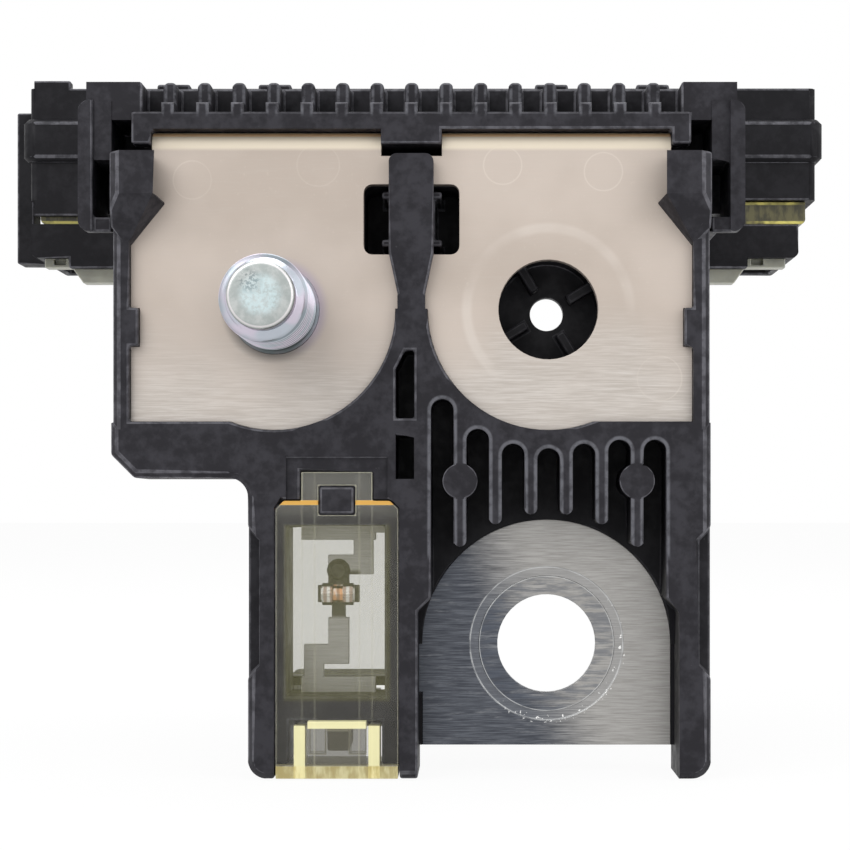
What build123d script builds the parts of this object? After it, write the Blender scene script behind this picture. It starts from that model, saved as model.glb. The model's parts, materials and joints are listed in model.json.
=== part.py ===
from build123d import *
import os
from math import sqrt

# Fuse holder that bolts straight to a battery clamp: an upright unit with two terminal plates and a
# ring tab, and a level unit behind it, both moulded round one stamped sheet that bends over the top.
# Millimetres. The origin is the centre of the battery hole, on the front face of its tab.
# X runs to the right, Y runs back through the tab, and Z runs up.

# Terminal sheet, upright part
SHEET_T = 1.2            # thickness of the stamped sheet
HOLE_PITCH = 25.8        # stud to plate hole
HOLE_RISE = 31.8         # battery hole up to the plate hole
PLATE_LEAD = 5.0         # the plates stand this far ahead of the battery tab
PLATE_HALF = 26.5        # half the width of the two plates together
SHOULDER_HALF = 24.5     # half the width above the shoulders, and of the level part
SHOULDER_Z = 42.5
PLATE_FOOT_Z = 21.2      # straight lower edge of the plates
LOBE_R = 11.4            # round lower end of each plate
PLATE_HOLE_R = 4.7
SHEET_TOP_Z = 48.7       # upper face of the level part
BEND_R = 0.8             # inner radius of most bends
TIGHT_BEND_R = 0.3       # inner radius of the bend over the top
LOCK_HALF = 4.5          # lock window between the plates
LOCK_LOW_Z = 37.0
LOCK_TOP_Z = 43.6
TONGUE_HALF = 2.85       # notch in the bend, and the housing tongue in it
NOTCH_Z = 45.6
KEY_LOW_Z = 28.3         # side notches that key the plates into the housing
KEY_H = 3.6
KEY_DEPTH = 0.85

# Battery tab
TAB_R = 12.0
TAB_HOLE_R = 4.75
TAB_DROP = 9.8           # hole centre down to the lower edge
TAB_RING_R = 7.0         # middle of the stamped ring round the hole
TAB_RING_W = 0.9
TAB_RING_DEPTH = 0.12

# Main neck between the plates and the tab
NECK_W = 3.0
NECK_TOP_Z = 33.0        # where the neck starts to step back
STEM_W = 4.0             # the same neck in the plane of the tab
FEED_W = 7.2             # metal above and below a fusible link
FEED_TOP_Z = 14.6

# Fusible link, the same in the upright and the level unit
LINK_L = 13.3
LINK_STRIP_W = 2.0
LINK_NECK_W = 1.3
LINK_STEP = 1.9          # width of each cross run
LINK_REACH = 3.35        # centre line to the outer edge of the end arms
COLLAR_W = 4.0
COLLAR_L = 1.65
COLLAR_AT = 8.1          # collar centre, from the lower end of the link
PELLET_R = 0.78
EAR_T = 0.3
EAR_SIDES = 8            # the ears are crimped round the pellet in short flats
BLOB_R = 1.15
BLOB_H = 0.9
BLOB_SIDES = 12
BLOB_SLOPE = 27.0        # degrees that the side of the run-out tin leans in
BLOB_AT = 10.35
LINK_X = -20.1           # centre line of the link in the upright unit
LINK_LOW_Z = -3.3

# Terminal stud
STUD_R = 4.0
STUD_L = 12.0            # thread and collar, ahead of the plate
STUD_COLLAR_R = 4.2      # pressed collar in the plate
STUD_COLLAR_LEAD = 0.3   # the collar stands this far ahead of the plate
STUD_CHAMFER = 0.8
DOG_EDGE = 0.4
DOG_R = 3.05
DOG_L = 2.0
STUD_HEAD_FLATS = 13.0   # hexagon head, held against turning by the moulding
STUD_HEAD_T = 2.0

# Upright housing
FACE_LEAD = 1.0          # the moulded face stands ahead of the plates
UPRIGHT_T = 9.0          # face to back
UPRIGHT_HALF = 28.1
UPRIGHT_TOP_Z = 46.3
SHELF_Z = 21.1           # top of the wide band under the plates
SHELF_OUT = 0.2
BAND_LOW_Z = 15.9
BODY_LEFT = -28.3
BODY_RIGHT = 15.3
BODY_LOW_Z = -12.4
EDGE_CHAMFER = 0.6
CORNER_R = 1.8
BAND_CHAMFER = 2.2
CENTRE_RIB_HALF = 2.1
CENTRE_RIB_WAIST = 1.3
CENTRE_RIB_LEAD = 0.6
NOTCH_W = 1.2            # long notches in the front edges of the body
NOTCH_D = 1.3
NOTCH_LOW_Z = -1.7
NOTCH_HIGH_Z = 10.1
FRAME_SKIN = 1.5         # plastic behind the plates
CELL_RIB = 1.2           # ribs of the waffle in the back
CELL_COLUMNS = 4
CELL_ROWS = 2
CUP_FLOOR_T = 1.5
CUP_HOLE_R = 1.6
CUP_RIB_L = 2.4
CUP_RIB_W = 0.9
CUP_RIB_TURN = 31.0
CLAW_W = 4.3
CLAW_H = 8.0
CLAW_LEAD = 2.2
CLAW_DRAFT = 0.8         # the inner side leans in under the face
CLAW_FLAT = 4.0
CLAW_FLARE = 0.75        # the slanting underside spreads this much towards the plate

# Recess of the battery tab and the ribs above it
WALL_GAP = 0.3           # tab edge to the recess wall
SLOT_COUNT = 7
SLOT_PITCH = 3.33
SLOT_W = 2.13
SLOT_SKIN = 0.8
SLOT_MARGIN = 1.7        # slot tops below the plates above them
RIB_END_GAP = 0.6        # tab edge to the rib ends
BOSS_R = 1.65
BOSS_Z = 15.6
POCKET_W = 1.75          # two pockets in the column beside the tab
POCKET_OFF = -0.6        # their centre line from the middle of the plates
POCKET_GAP = 0.4         # clear of the band's top and of the feed below
POCKET_TALL = 6.4
POCKET_SHORT = 4.1
REAR_MARGIN = 2.5        # tab edge held from behind

# Clear covers of the upright unit
COVER_T = 1.2
COVER_LEFT = -25.7
COVER_RIGHT = -14.1
COVER_TOP_Z = 13.8
COVER_GAP = 0.1
LEDGE_H = 1.2
TONGUE_W = 6.75
TONGUE_H = 2.7
TONGUE_FRAME_W = 1.4     # shallow step in the face round the tongue
TONGUE_FRAME_D = 0.3
CATCH_W = 3.2
CATCH_H = 2.5
VIEW_HALF = 4.65         # half the width of the viewing window
VIEW_MARGIN = 1.4        # window beyond the two ends of the link
CROSSBAR_H = 2.3
FOOT_MARGIN = 0.25       # opening under the crossbar, inside the window above it
HOOK_W = 5.4
HOOK_BAR_H = 0.6
POST_W = 2.1
POST_H = 3.0
LEG_OFF = 3.5            # two ribs of the cover, beside the hook
LEG_W = 1.1
LEG_H = 3.8
LEG_D = 4.0

# Outlet blade and shroud behind the upright unit
OUTLET_L = 9.0
SHROUD_WALL = 0.9
SHROUD_W = 11.0
SHROUD_H = 4.9
SHROUD_L = 9.6

# Level housing
REAR_GAP = 0.5           # upright housing to level housing
NECK_HALF = 31.5
NECK_BACK = 40.0
NECK_LOW_Z = 42.0
ROOF_T = 2.2
BAR_T = 1.6              # front bar above the bend
BAR_HALF = 26.3
BAR_DROP = 1.4           # end steps and tongue below the sheet's top
BAR_STEP_W = 2.2
COMB_COUNT = 15
COMB_PITCH = 3.27
COMB_RIB_W = 1.3
COMB_H = 3.1
COMB_SET = 1.9           # ribs stand back from the bar's face
COMB_DEPTH = 3.1
COMB_FOOT_H = 0.9
COMB_FOOT_W = 1.2
COMB_NUB_RISE = 0.75
COMB_WALL_T = 1.5
COMB_NUB_W = 3.2
ARM_T = 1.4
ARM_LIP = 3.1
ARM_CORNER_R = 1.1
ARM_LOW_Z = 39.2
ARM_TOP_Z = 51.6
ARM_OPEN_Z = 46.0        # the arm is open towards the upright unit below this height
ARM_WEB_SET = 0.5
ARM_LEAD = 5.0
ARM_BACK = 14.0
CORNER_OUT = 30.8
CORNER_IN = 25.5
CORNER_LOW_Z = 49.8
CORNER_TOP_Z = 53.4
POST_LOW_Z = 37.9
POST_TOP_Z = 43.1

# Row of fusible links in the level unit
LINK_COUNT = 5
LINK_PITCH = 11.2
CHAMBER_FRONT = 10.0
CHAMBER_L = 21.0
CHAMBER_WALL = 1.2
LINK_FRONT = 13.8

# Connector block across the back
BLOCK_T = 20.0
BLOCK_TOP_Z = 61.6
BLADE_PITCH = 18.0
BLADE_W = 8.0
BLADE_TOP_Z = 59.0
SOCKET_SIDE = 7.0        # blade centre to the socket's end wall
SOCKET_WALL = 1.6
SOCKET_END_WALL = 2.4
SOCKET_FLOOR_Z = 51.0
RAIL_LOW_Z = 53.1
RAIL_H = 4.9
RAIL_OUT = 0.8
RAIL_BEVEL = 0.5
CAP_W = 4.2
CAP_H = 0.9

# Trays, lower shells and lock inserts under the wings
TRAY_T = 1.0
TRAY_LOW_Z = 46.0
TRAY_SET = 1.0           # tray inside the block's outline
TRAY_EDGE = 0.7
WING_SHELL_LOW_Z = 42.1
SHELL_SET = 1.9          # right shell inside the block's outline
SHELL_WALL = 1.2
STEP_DROP = 1.2          # step under each shell, next to the neck
LEFT_STEP_W = 9.4
RIGHT_STEP_W = 6.0
INSERT_SET = 2.0         # insert behind the shell's front face
INSERT_DROP = 1.0        # insert below the shell
INSERT_FRONT_T = 2.0     # its front lip and tapered foot
INSERT_FOOT = 1.8        # height of the foot
INSERT_TAPER = 1.3
CATCH_HOLE_W = 1.4
CATCH_HOLE_H = 0.7
LIP_L = 8.0              # lip that hides the end of the left tray
FLANGE_T = 2.0
FLANGE_D = 4.0
FLANGE_TOP_Z = 60.0

# Cuts that go through a face run on this far past it
CUT = 1.0

# Planes that follow from the sizes above
MID_X = -HOLE_PITCH / 2
PLATE_Y = -PLATE_LEAD
PLATE_BACK = PLATE_Y + SHEET_T
FACE_Y = PLATE_Y - FACE_LEAD
BACK_Y = FACE_Y + UPRIGHT_T
SHEET_LOW_Z = SHEET_TOP_Z - SHEET_T
REAR_Y = BACK_Y + REAR_GAP
BLOCK_BACK = NECK_BACK + BLOCK_T
BLOCK_HALF = BLADE_PITCH * (LINK_COUNT - 1) / 2 + SOCKET_SIDE + SOCKET_END_WALL
BLADE_Y = NECK_BACK + BLOCK_T / 2
ROOF_Z = SHEET_TOP_Z + ROOF_T
BAR_Z = SHEET_TOP_Z + BAR_T
COVER_MID = (COVER_LEFT + COVER_RIGHT) / 2
LINK_TOP_Z = LINK_LOW_Z + LINK_L
VIEW_LOW_Z = LINK_LOW_Z - VIEW_MARGIN
VIEW_TOP_Z = LINK_TOP_Z + VIEW_MARGIN
SLOT_REACH = SLOT_PITCH * (SLOT_COUNT - 1) / 2 + SLOT_W / 2
RECESS_HALF = TAB_R + WALL_GAP
RIB_END_R = TAB_R + RIB_END_GAP
TRAY_OUT = BLOCK_HALF - TRAY_SET


def block(x0, x1, y0, y1, z0, z1):
    """A plain block between two corners."""
    return Pos((x0 + x1) / 2, (y0 + y1) / 2, (z0 + z1) / 2) * Box(x1 - x0, y1 - y0, z1 - z0)


def rect(a0, a1, b0, b1):
    """A rectangle in a sketch, between two corners."""
    return Pos((a0 + a1) / 2, (b0 + b1) / 2) * Rectangle(a1 - a0, b1 - b0)


def soft_rect(a0, a1, b0, b1, radius):
    """A rectangle with rounded corners, between two corners."""
    return Pos((a0 + a1) / 2, (b0 + b1) / 2) * RectangleRounded(a1 - a0, b1 - b0, radius)


def disc(a, b, radius):
    return Pos(a, b) * Circle(radius)


def outline(*points):
    """A closed straight-sided shape through the points."""
    return make_face(Polyline(*points, close=True))


def from_front(sketch, y0, y1):
    """Extrude a front-view sketch (X, Z) from y0 back to y1."""
    return extrude(Plane.XZ.offset(-y1) * sketch, amount=y1 - y0)


def from_top(sketch, z0, z1):
    """Extrude a plan sketch (X, Y) from z0 up to z1."""
    return extrude(Pos(0, 0, z0) * sketch, amount=z1 - z0)


def from_side(sketch, x0, x1):
    """Extrude a side-view sketch (Y, Z) from x0 to x1."""
    return extrude(Plane.YZ.offset(x0) * sketch, amount=x1 - x0)


def corner(sketch, a, b):
    """The vertex of a sketch that lies nearest to a point."""
    return sketch.vertices().sort_by_distance((a, b, 0))[0]


def both_sides(solid):
    """A solid with its mirror image about the middle of the plates."""
    return solid + mirror(solid, about=Plane.YZ.offset(MID_X))


def total(shapes):
    """All the shapes added into one."""
    shapes = list(shapes)
    result = shapes[0]
    for shape in shapes[1:]:
        result += shape
    return result


# Fusible link
def link_strip():
    """One link, flat in XY with its lower end at the origin and its outer face at z = 0."""
    half = LINK_STRIP_W / 2
    low_step = LINK_STEP + (LINK_L - COLLAR_AT) / 4
    high_step = BLOB_AT - BLOB_R / 3
    blank = total([
        rect(-LINK_REACH, -LINK_REACH + LINK_STEP, 0, low_step),
        rect(-LINK_REACH, half, low_step - LINK_STEP, low_step),
        rect(-half, half, low_step - LINK_STEP, COLLAR_AT - 2 * COLLAR_L / 2 - LINK_NECK_W / 2),
        rect(-LINK_NECK_W / 2, LINK_NECK_W / 2, low_step, COLLAR_AT),
        rect(-COLLAR_W / 2, COLLAR_W / 2, COLLAR_AT - COLLAR_L / 2, COLLAR_AT + COLLAR_L / 2),
        rect(-half, half, COLLAR_AT, high_step + LINK_STEP),
        rect(-half, LINK_REACH, high_step, high_step + LINK_STEP),
        rect(LINK_REACH - LINK_STEP, LINK_REACH, high_step, LINK_L),
    ])
    strip = from_top(blank, -SHEET_T, 0)
    for side in (-1, 1):
        ear = RegularPolygon(PELLET_R + EAR_T, EAR_SIDES) - RegularPolygon(PELLET_R, EAR_SIDES)
        ear_w = COLLAR_W / 4
        ear_at = side * COLLAR_W / 4
        band = extrude(Plane.YZ.offset(ear_at - ear_w / 2) * ear, amount=ear_w)
        strip += Pos(0, COLLAR_AT, PELLET_R) * band
    return strip


def link_pellet():
    """Tin slug held by the ears, with the tin that ran along the strip when it was set."""
    slug_half = COLLAR_W / 2 - PELLET_R / 2
    slug = extrude(Plane.YZ.offset(-slug_half) * RegularPolygon(PELLET_R, EAR_SIDES), amount=2 * slug_half)
    slug = Pos(0, COLLAR_AT, PELLET_R) * slug
    run = from_top(rect(-PELLET_R, PELLET_R, COLLAR_AT, BLOB_AT), 0, PELLET_R / 2)
    blob = extrude(Pos(0, BLOB_AT) * RegularPolygon(BLOB_R, BLOB_SIDES), amount=BLOB_H, taper=BLOB_SLOPE)
    return slug + run + blob - link_strip()


def upright_place(shape):
    return Plane(origin=(LINK_X, 0, LINK_LOW_Z), x_dir=(1, 0, 0), z_dir=(0, -1, 0)) * shape


def level_place(shape, index):
    return Pos(link_x(index), LINK_FRONT, SHEET_TOP_Z) * shape


def link_x(index):
    return MID_X + LINK_PITCH * (index - (LINK_COUNT - 1) / 2)


def blade_x(index):
    return MID_X + BLADE_PITCH * (index - (LINK_COUNT - 1) / 2)


# Terminal sheet
def plates_outline():
    """The two plates in front view, without their holes."""
    lobe_in = HOLE_PITCH / 2
    shape = rect(MID_X - PLATE_HALF, MID_X + PLATE_HALF, HOLE_RISE, SHOULDER_Z)
    shape += rect(MID_X - SHOULDER_HALF, MID_X + SHOULDER_HALF, SHOULDER_Z, UPRIGHT_TOP_Z)
    shape += rect(MID_X - PLATE_HALF, MID_X - lobe_in, PLATE_FOOT_Z, HOLE_RISE)
    shape += rect(MID_X + lobe_in, MID_X + PLATE_HALF, PLATE_FOOT_Z, HOLE_RISE)
    for side in (-1, 1):
        shape += disc(MID_X + side * lobe_in, HOLE_RISE, LOBE_R)
        key_x = MID_X + side * PLATE_HALF
        shape -= rect(key_x - KEY_DEPTH, key_x + KEY_DEPTH, KEY_LOW_Z, KEY_LOW_Z + KEY_H)
    return shape


def lock_window():
    return soft_rect(MID_X - LOCK_HALF, MID_X + LOCK_HALF, LOCK_LOW_Z, LOCK_TOP_Z, BEND_R)


def bent_section(y0, z0, y1, z1):
    """Side view of a bend: a leg from z0 up to the corner, and a leg from the corner to y1."""
    section = rect(y0, y0 + SHEET_T, z0, z1) + rect(y0, y1, z1 - SHEET_T, z1)
    section = fillet(corner(section, y0, z1), TIGHT_BEND_R + SHEET_T)
    return fillet(corner(section, y0 + SHEET_T, z1 - SHEET_T), TIGHT_BEND_R)


def tab_plane_outline():
    """The sheet in the plane of the battery tab: tab, stem and the feed of the link."""
    stem_left = MID_X - STEM_W / 2
    stem_right = MID_X + STEM_W / 2
    tab = disc(0, 0, TAB_R) & rect(-TAB_R, TAB_R, 0, TAB_R)
    tab += rect(-TAB_R, TAB_R, -TAB_DROP, 0)
    stem_low = VIEW_LOW_Z
    stem = rect(stem_left, stem_right, stem_low, NECK_TOP_Z - PLATE_LEAD)
    feed_low = LINK_TOP_Z
    feed = rect(LINK_X - FEED_W / 2, stem_right, VIEW_TOP_Z - VIEW_MARGIN / 2, FEED_TOP_Z)
    feed += rect(LINK_X - FEED_W / 2, LINK_X + FEED_W / 2, feed_low, FEED_TOP_Z)
    return tab + stem + feed - disc(0, 0, TAB_HOLE_R)


def level_outline():
    """The level part in plan: common plate in front, one track behind each link."""
    front = CHAMBER_FRONT - 2 * SHEET_T
    shape = rect(MID_X - SHOULDER_HALF, MID_X + SHOULDER_HALF, front, CHAMBER_FRONT)
    for index in range(LINK_COUNT):
        x = link_x(index)
        bx = blade_x(index)
        half = FEED_W / 2
        tip = BLADE_W / 2
        shape += rect(x - half, x + half, CHAMBER_FRONT - SHEET_T, LINK_FRONT)
        shape += outline(
            (x - half, LINK_FRONT + LINK_L),
            (x + half, LINK_FRONT + LINK_L),
            (x + half, NECK_BACK + SOCKET_WALL),
            (bx + tip, BLADE_Y - BLADE_W / 3),
            (bx + tip, BLADE_Y),
            (bx - tip, BLADE_Y),
            (bx - tip, BLADE_Y - BLADE_W / 3),
            (x - half, NECK_BACK + SOCKET_WALL),
        )
    return shape


def blade(index):
    """A connector blade, bent up from the end of its track, with a chamfered tip."""
    x = blade_x(index)
    back = BLADE_Y + SHEET_T / 2
    section = rect(back - SHEET_T, back, SHEET_LOW_Z, BLADE_TOP_Z)
    section += rect(BLADE_Y - BLADE_W / 3, back, SHEET_LOW_Z, SHEET_TOP_Z)
    section = fillet(corner(section, back, SHEET_LOW_Z), BEND_R + SHEET_T)
    section = fillet(corner(section, back - SHEET_T, SHEET_TOP_Z), BEND_R)
    solid = from_side(section, x - BLADE_W / 2, x + BLADE_W / 2)
    return chamfer(solid.edges().group_by(Axis.Z)[-1], SHEET_T / 3)


def outlet_blade():
    """The link's lower feed, bent back into a blade behind the upright unit."""
    z = VIEW_LOW_Z - CROSSBAR_H / 2
    section = rect(0, SHEET_T, z - SHEET_T / 2, LINK_LOW_Z)
    section += rect(0, BACK_Y + OUTLET_L, z - SHEET_T / 2, z + SHEET_T / 2)
    section = fillet(corner(section, 0, z - SHEET_T / 2), BEND_R)
    solid = from_side(section, LINK_X - FEED_W / 2, LINK_X + FEED_W / 2)
    return chamfer(solid.edges().group_by(Axis.Y)[-1], SHEET_T / 3)


def hidden_metal():
    """The metal that the upright housing is moulded round, behind and below the plates."""
    left = MID_X - NECK_W / 2
    right = MID_X + NECK_W / 2
    # The neck steps back from the plates to the tab between the two lobes.
    step_low = NECK_TOP_Z - PLATE_LEAD
    step = outline((PLATE_Y, NECK_TOP_Z), (PLATE_BACK, NECK_TOP_Z), (SHEET_T, step_low), (0, step_low))
    neck = from_side(step, left, right)
    return neck + from_front(tab_plane_outline(), 0, SHEET_T) + outlet_blade()


def level_metal():
    """The metal that the level housing is moulded round, with its links and blades."""
    metal = from_top(level_outline(), SHEET_LOW_Z, SHEET_TOP_Z)
    for index in range(LINK_COUNT):
        metal += blade(index)
    return metal


def bend():
    """The bend over the top, between the plates and the level part."""
    section = bent_section(PLATE_Y, SHOULDER_Z, CHAMBER_FRONT - SHEET_T, SHEET_TOP_Z)
    solid = from_side(section, MID_X - SHOULDER_HALF, MID_X + SHOULDER_HALF)
    solid -= block(MID_X - TONGUE_HALF, MID_X + TONGUE_HALF, FACE_Y, 0, NOTCH_Z, CORNER_TOP_Z)
    return solid - from_front(lock_window(), PLATE_Y, PLATE_BACK)


def bus_sheet():
    """The whole stamped and bent sheet."""
    holes = disc(-HOLE_PITCH, HOLE_RISE, STUD_COLLAR_R) + disc(0, HOLE_RISE, PLATE_HOLE_R)
    plates = plates_outline() - lock_window() - holes
    sheet = from_front(plates, PLATE_Y, PLATE_BACK) + bend() + level_metal() + hidden_metal()
    ring = Circle(TAB_RING_R + TAB_RING_W / 2) - Circle(TAB_RING_R - TAB_RING_W / 2)
    sheet -= from_front(ring, 0, TAB_RING_DEPTH)
    sheet += upright_place(link_strip())
    for index in range(LINK_COUNT):
        sheet += level_place(link_strip(), index)
    return sheet.solid()


def terminal_stud():
    """Pressed-in stud: head behind the plate, plain shank at thread size, dog point."""
    thread_end = -SHEET_T - STUD_L
    dog_end = thread_end - DOG_L
    collar_end = -SHEET_T - STUD_COLLAR_LEAD
    profile = outline(
        (0, STUD_HEAD_T),
        (STUD_COLLAR_R, STUD_HEAD_T),
        (STUD_COLLAR_R, collar_end),
        (STUD_R, collar_end),
        (STUD_R, thread_end + STUD_CHAMFER),
        (DOG_R, thread_end),
        (DOG_R, dog_end + DOG_EDGE),
        (DOG_R - DOG_EDGE, dog_end),
        (0, dog_end),
    )
    head = from_front(RegularPolygon(STUD_HEAD_FLATS / 2, 6, major_radius=False), 0, STUD_HEAD_T)
    return (Pos(-HOLE_PITCH, PLATE_BACK, HOLE_RISE) * (revolve(profile, Axis.Y) + head)).solid()


# Upright housing
def upright_outline():
    """Front view of the upright housing before anything is cut from it."""
    left = MID_X - UPRIGHT_HALF
    right = MID_X + UPRIGHT_HALF
    shape = rect(left, right, BAND_LOW_Z, UPRIGHT_TOP_Z)
    shape += rect(left - SHELF_OUT, BODY_RIGHT, BAND_LOW_Z, SHELF_Z)
    shape += rect(BODY_LEFT, BODY_RIGHT, BODY_LOW_Z, SHELF_Z)
    shape = chamfer(corner(shape, left - SHELF_OUT, BAND_LOW_Z), BAND_CHAMFER)
    for x, z in ((BODY_LEFT, BODY_LOW_Z), (BODY_RIGHT, BODY_LOW_Z), (BODY_LEFT, BAND_LOW_Z)):
        shape = fillet(corner(shape, x, z), CORNER_R)
    return shape


def slot_x(index):
    """Centre of a slot above the tab."""
    return SLOT_PITCH * (index - (SLOT_COUNT - 1) / 2)


def slot_top(x):
    """Top of a slot: the row follows the round plate above, and its straight foot on the right."""
    under_lobe = HOLE_RISE - sqrt((LOBE_R + SLOT_MARGIN) ** 2 - x ** 2)
    if x > 0:
        return min(under_lobe, PLATE_FOOT_Z - SLOT_MARGIN)
    return under_lobe


def rib_x(index):
    """Centre of a rib between two slots."""
    return SLOT_PITCH * (index - (SLOT_COUNT - 2) / 2)


def tab_recess():
    """Front-view shape of the recess: tab bay, slots above it, less the ribs with round ends."""
    bay = disc(0, 0, RIB_END_R + RIB_END_GAP) & rect(-SLOT_REACH, SLOT_REACH, 0, 2 * TAB_R)
    flare_z = TAB_R / 3
    shape = bay + outline(
        (-SLOT_REACH, flare_z + RIB_END_GAP),
        (SLOT_REACH, flare_z + RIB_END_GAP),
        (RECESS_HALF, flare_z - RIB_END_GAP),
        (RECESS_HALF, BODY_LOW_Z - CORNER_R),
        (-RECESS_HALF, BODY_LOW_Z - CORNER_R),
        (-RECESS_HALF, flare_z - RIB_END_GAP),
    )
    for index in range(SLOT_COUNT):
        x = slot_x(index)
        top = slot_top(x) - SLOT_W / 2
        shape += rect(x - SLOT_W / 2, x + SLOT_W / 2, flare_z, top) + disc(x, top, SLOT_W / 2)
    rib_half = (SLOT_PITCH - SLOT_W) / 2
    for index in range(SLOT_COUNT - 1):
        x = rib_x(index)
        low = sqrt(RIB_END_R ** 2 - x ** 2) + rib_half
        shape -= rect(x - rib_half, x + rib_half, low, BOSS_Z) + disc(x, low, rib_half)
    for x in (rib_x(0), rib_x(SLOT_COUNT - 2)):
        shape -= disc(x, BOSS_Z, BOSS_R)
    return shape


def centre_rib():
    """The rib that runs down between the plates, and fades into the face below them."""
    half = CENTRE_RIB_HALF
    top = UPRIGHT_TOP_Z
    waist_top = HOLE_RISE + LOBE_R / 8
    waist_low = HOLE_RISE - LOBE_R / 8
    front = FACE_Y - CENTRE_RIB_LEAD
    shape = rect(MID_X - half, MID_X + half, LOCK_LOW_Z, top)
    shape = fillet(shape.vertices().group_by(Axis.Y)[-1], BEND_R)
    shape += outline(
        (MID_X - half, LOCK_LOW_Z),
        (MID_X + half, LOCK_LOW_Z),
        (MID_X + CENTRE_RIB_WAIST, waist_top),
        (MID_X + CENTRE_RIB_WAIST, waist_low),
        (MID_X - CENTRE_RIB_WAIST, waist_low),
        (MID_X - CENTRE_RIB_WAIST, waist_top),
    )
    fade = outline(
        (front - CUT, LOCK_LOW_Z),
        (front, LOCK_LOW_Z),
        (FACE_Y, waist_top),
        (FACE_Y, waist_low - CUT),
        (front - CUT, waist_low - CUT),
    )
    return from_front(shape, front, PLATE_Y) - from_side(fade, MID_X - 2 * half, MID_X + 2 * half)


def claw():
    """Left claw: a block with a sloping lower side that ends in a point."""
    left = MID_X - UPRIGHT_HALF
    top = UPRIGHT_TOP_Z
    low = top - CLAW_H
    slant_top = (left + CLAW_W, top - CLAW_FLAT)
    slant_low = (left + CLAW_W / 4, low)
    shape = outline((left, top), (left + CLAW_W, top), slant_top, slant_low, (left, low + CLAW_W / 4))
    front = FACE_Y - CLAW_LEAD
    solid = from_front(shape, front, PLATE_Y)
    along = Vector(slant_low[0] - slant_top[0], 0, slant_low[1] - slant_top[1])
    slant = Plane(origin=(slant_top[0], 0, slant_top[1]), x_dir=along.cross(Vector(0, 1, 0)), z_dir=along)
    flare = outline((0, -front), (0, -PLATE_Y), (CLAW_FLARE, -PLATE_Y))
    solid += extrude(slant * flare, amount=along.length)
    slope = outline(
        (front - CLAW_LEAD, top - CLAW_FLAT),
        (front, top - CLAW_FLAT),
        (FACE_Y, low),
        (FACE_Y, low - CLAW_H),
        (front - CLAW_LEAD, low - CLAW_H),
    )
    solid -= from_side(slope, left - CLAW_W, left + 2 * CLAW_W)
    lean = outline(
        (left + CLAW_W, front),
        (left + CLAW_W + CUT, front),
        (left + CLAW_W + CUT, PLATE_Y),
        (left + CLAW_W - CLAW_DRAFT, PLATE_Y),
    )
    solid -= from_top(lean, top - CLAW_FLAT, top)
    edge = solid.edges().filter_by(Axis.Z).sort_by_distance((left, FACE_Y - CLAW_LEAD, top))[0]
    return chamfer(edge, BEND_R)


def crush_rib(turn):
    """A small rib in the cup behind the plate hole."""
    half = CUP_RIB_W / 2
    rib = block(PLATE_HOLE_R - CUP_RIB_L, PLATE_HOLE_R + WALL_GAP, -PLATE_LEAD / 2, 0, -half, half)
    wedge = outline(
        (PLATE_HOLE_R - 2 * CUP_RIB_L, 0),
        (PLATE_HOLE_R, -PLATE_LEAD),
        (PLATE_HOLE_R - 2 * CUP_RIB_L, -PLATE_LEAD),
    )
    rib -= extrude(wedge, amount=CUP_RIB_W, both=True)
    return Pos(0, 0, HOLE_RISE) * Rot(0, -turn, 0) * rib


def back_cells():
    """Waffle cut into the back of the upright housing, clear of the cup, stud head and window."""
    low = slot_top(slot_x(0)) + CELL_RIB
    high = UPRIGHT_TOP_Z - CELL_RIB
    half = UPRIGHT_HALF - CELL_RIB
    cell_w = (2 * half + CELL_RIB) / CELL_COLUMNS
    cell_h = (high - low + CELL_RIB) / CELL_ROWS
    shape = total(
        rect(
            MID_X - half + column * cell_w,
            MID_X - half + (column + 1) * cell_w - CELL_RIB,
            low + row * cell_h,
            low + (row + 1) * cell_h - CELL_RIB,
        )
        for column in range(CELL_COLUMNS)
        for row in range(CELL_ROWS)
    )
    shape -= disc(0, HOLE_RISE, PLATE_HOLE_R + FRAME_SKIN)
    shape -= disc(-HOLE_PITCH, HOLE_RISE, STUD_HEAD_FLATS / sqrt(3) + CELL_RIB)
    edge = LOCK_HALF + FRAME_SKIN
    shape -= rect(MID_X - edge, MID_X + edge, LOCK_LOW_Z - FRAME_SKIN, UPRIGHT_TOP_Z)
    stem = STEM_W / 2 + FRAME_SKIN
    shape -= rect(MID_X - stem, MID_X + stem, SHELF_Z, LOCK_LOW_Z)
    return shape


def cover_recess(gap):
    """Front view of the front cover's outline, grown by a gap: plate and upper tongue."""
    plate = rect(COVER_LEFT - gap, COVER_RIGHT + gap, BODY_LOW_Z - CORNER_R * gap, COVER_TOP_Z + gap)
    plate = chamfer(plate.vertices().group_by(Axis.Y)[-1], BEND_R)
    half = TONGUE_W / 2 + gap
    tongue = rect(COVER_MID - half, COVER_MID + half, VIEW_TOP_Z, COVER_TOP_Z + TONGUE_H + gap)
    return plate + tongue


def upper_catch(gap):
    """Front view of the catch that the front cover's tongue snaps over."""
    half = CATCH_W / 2 + gap
    z = COVER_TOP_Z
    return rect(COVER_MID - half, COVER_MID + half, z - CATCH_H / 2 - gap, z + CATCH_H / 2 + gap)


def column_pockets():
    """Front view of the two pockets in the column between the link and the tab."""
    left = MID_X + POCKET_OFF - POCKET_W / 2
    right = MID_X + POCKET_OFF + POCKET_W / 2
    high_low = SHELF_Z + POCKET_GAP
    high_top = high_low + POCKET_TALL
    slant = POCKET_W / 2
    shape = outline(
        (left, high_low),
        (right, high_low),
        (right, high_top),
        (left + slant, high_top),
        (left, high_top - 2 * slant),
    )
    low_top = SHELF_Z - 3 * POCKET_GAP
    return shape + rect(left, right, low_top - POCKET_SHORT, low_top)


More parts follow.
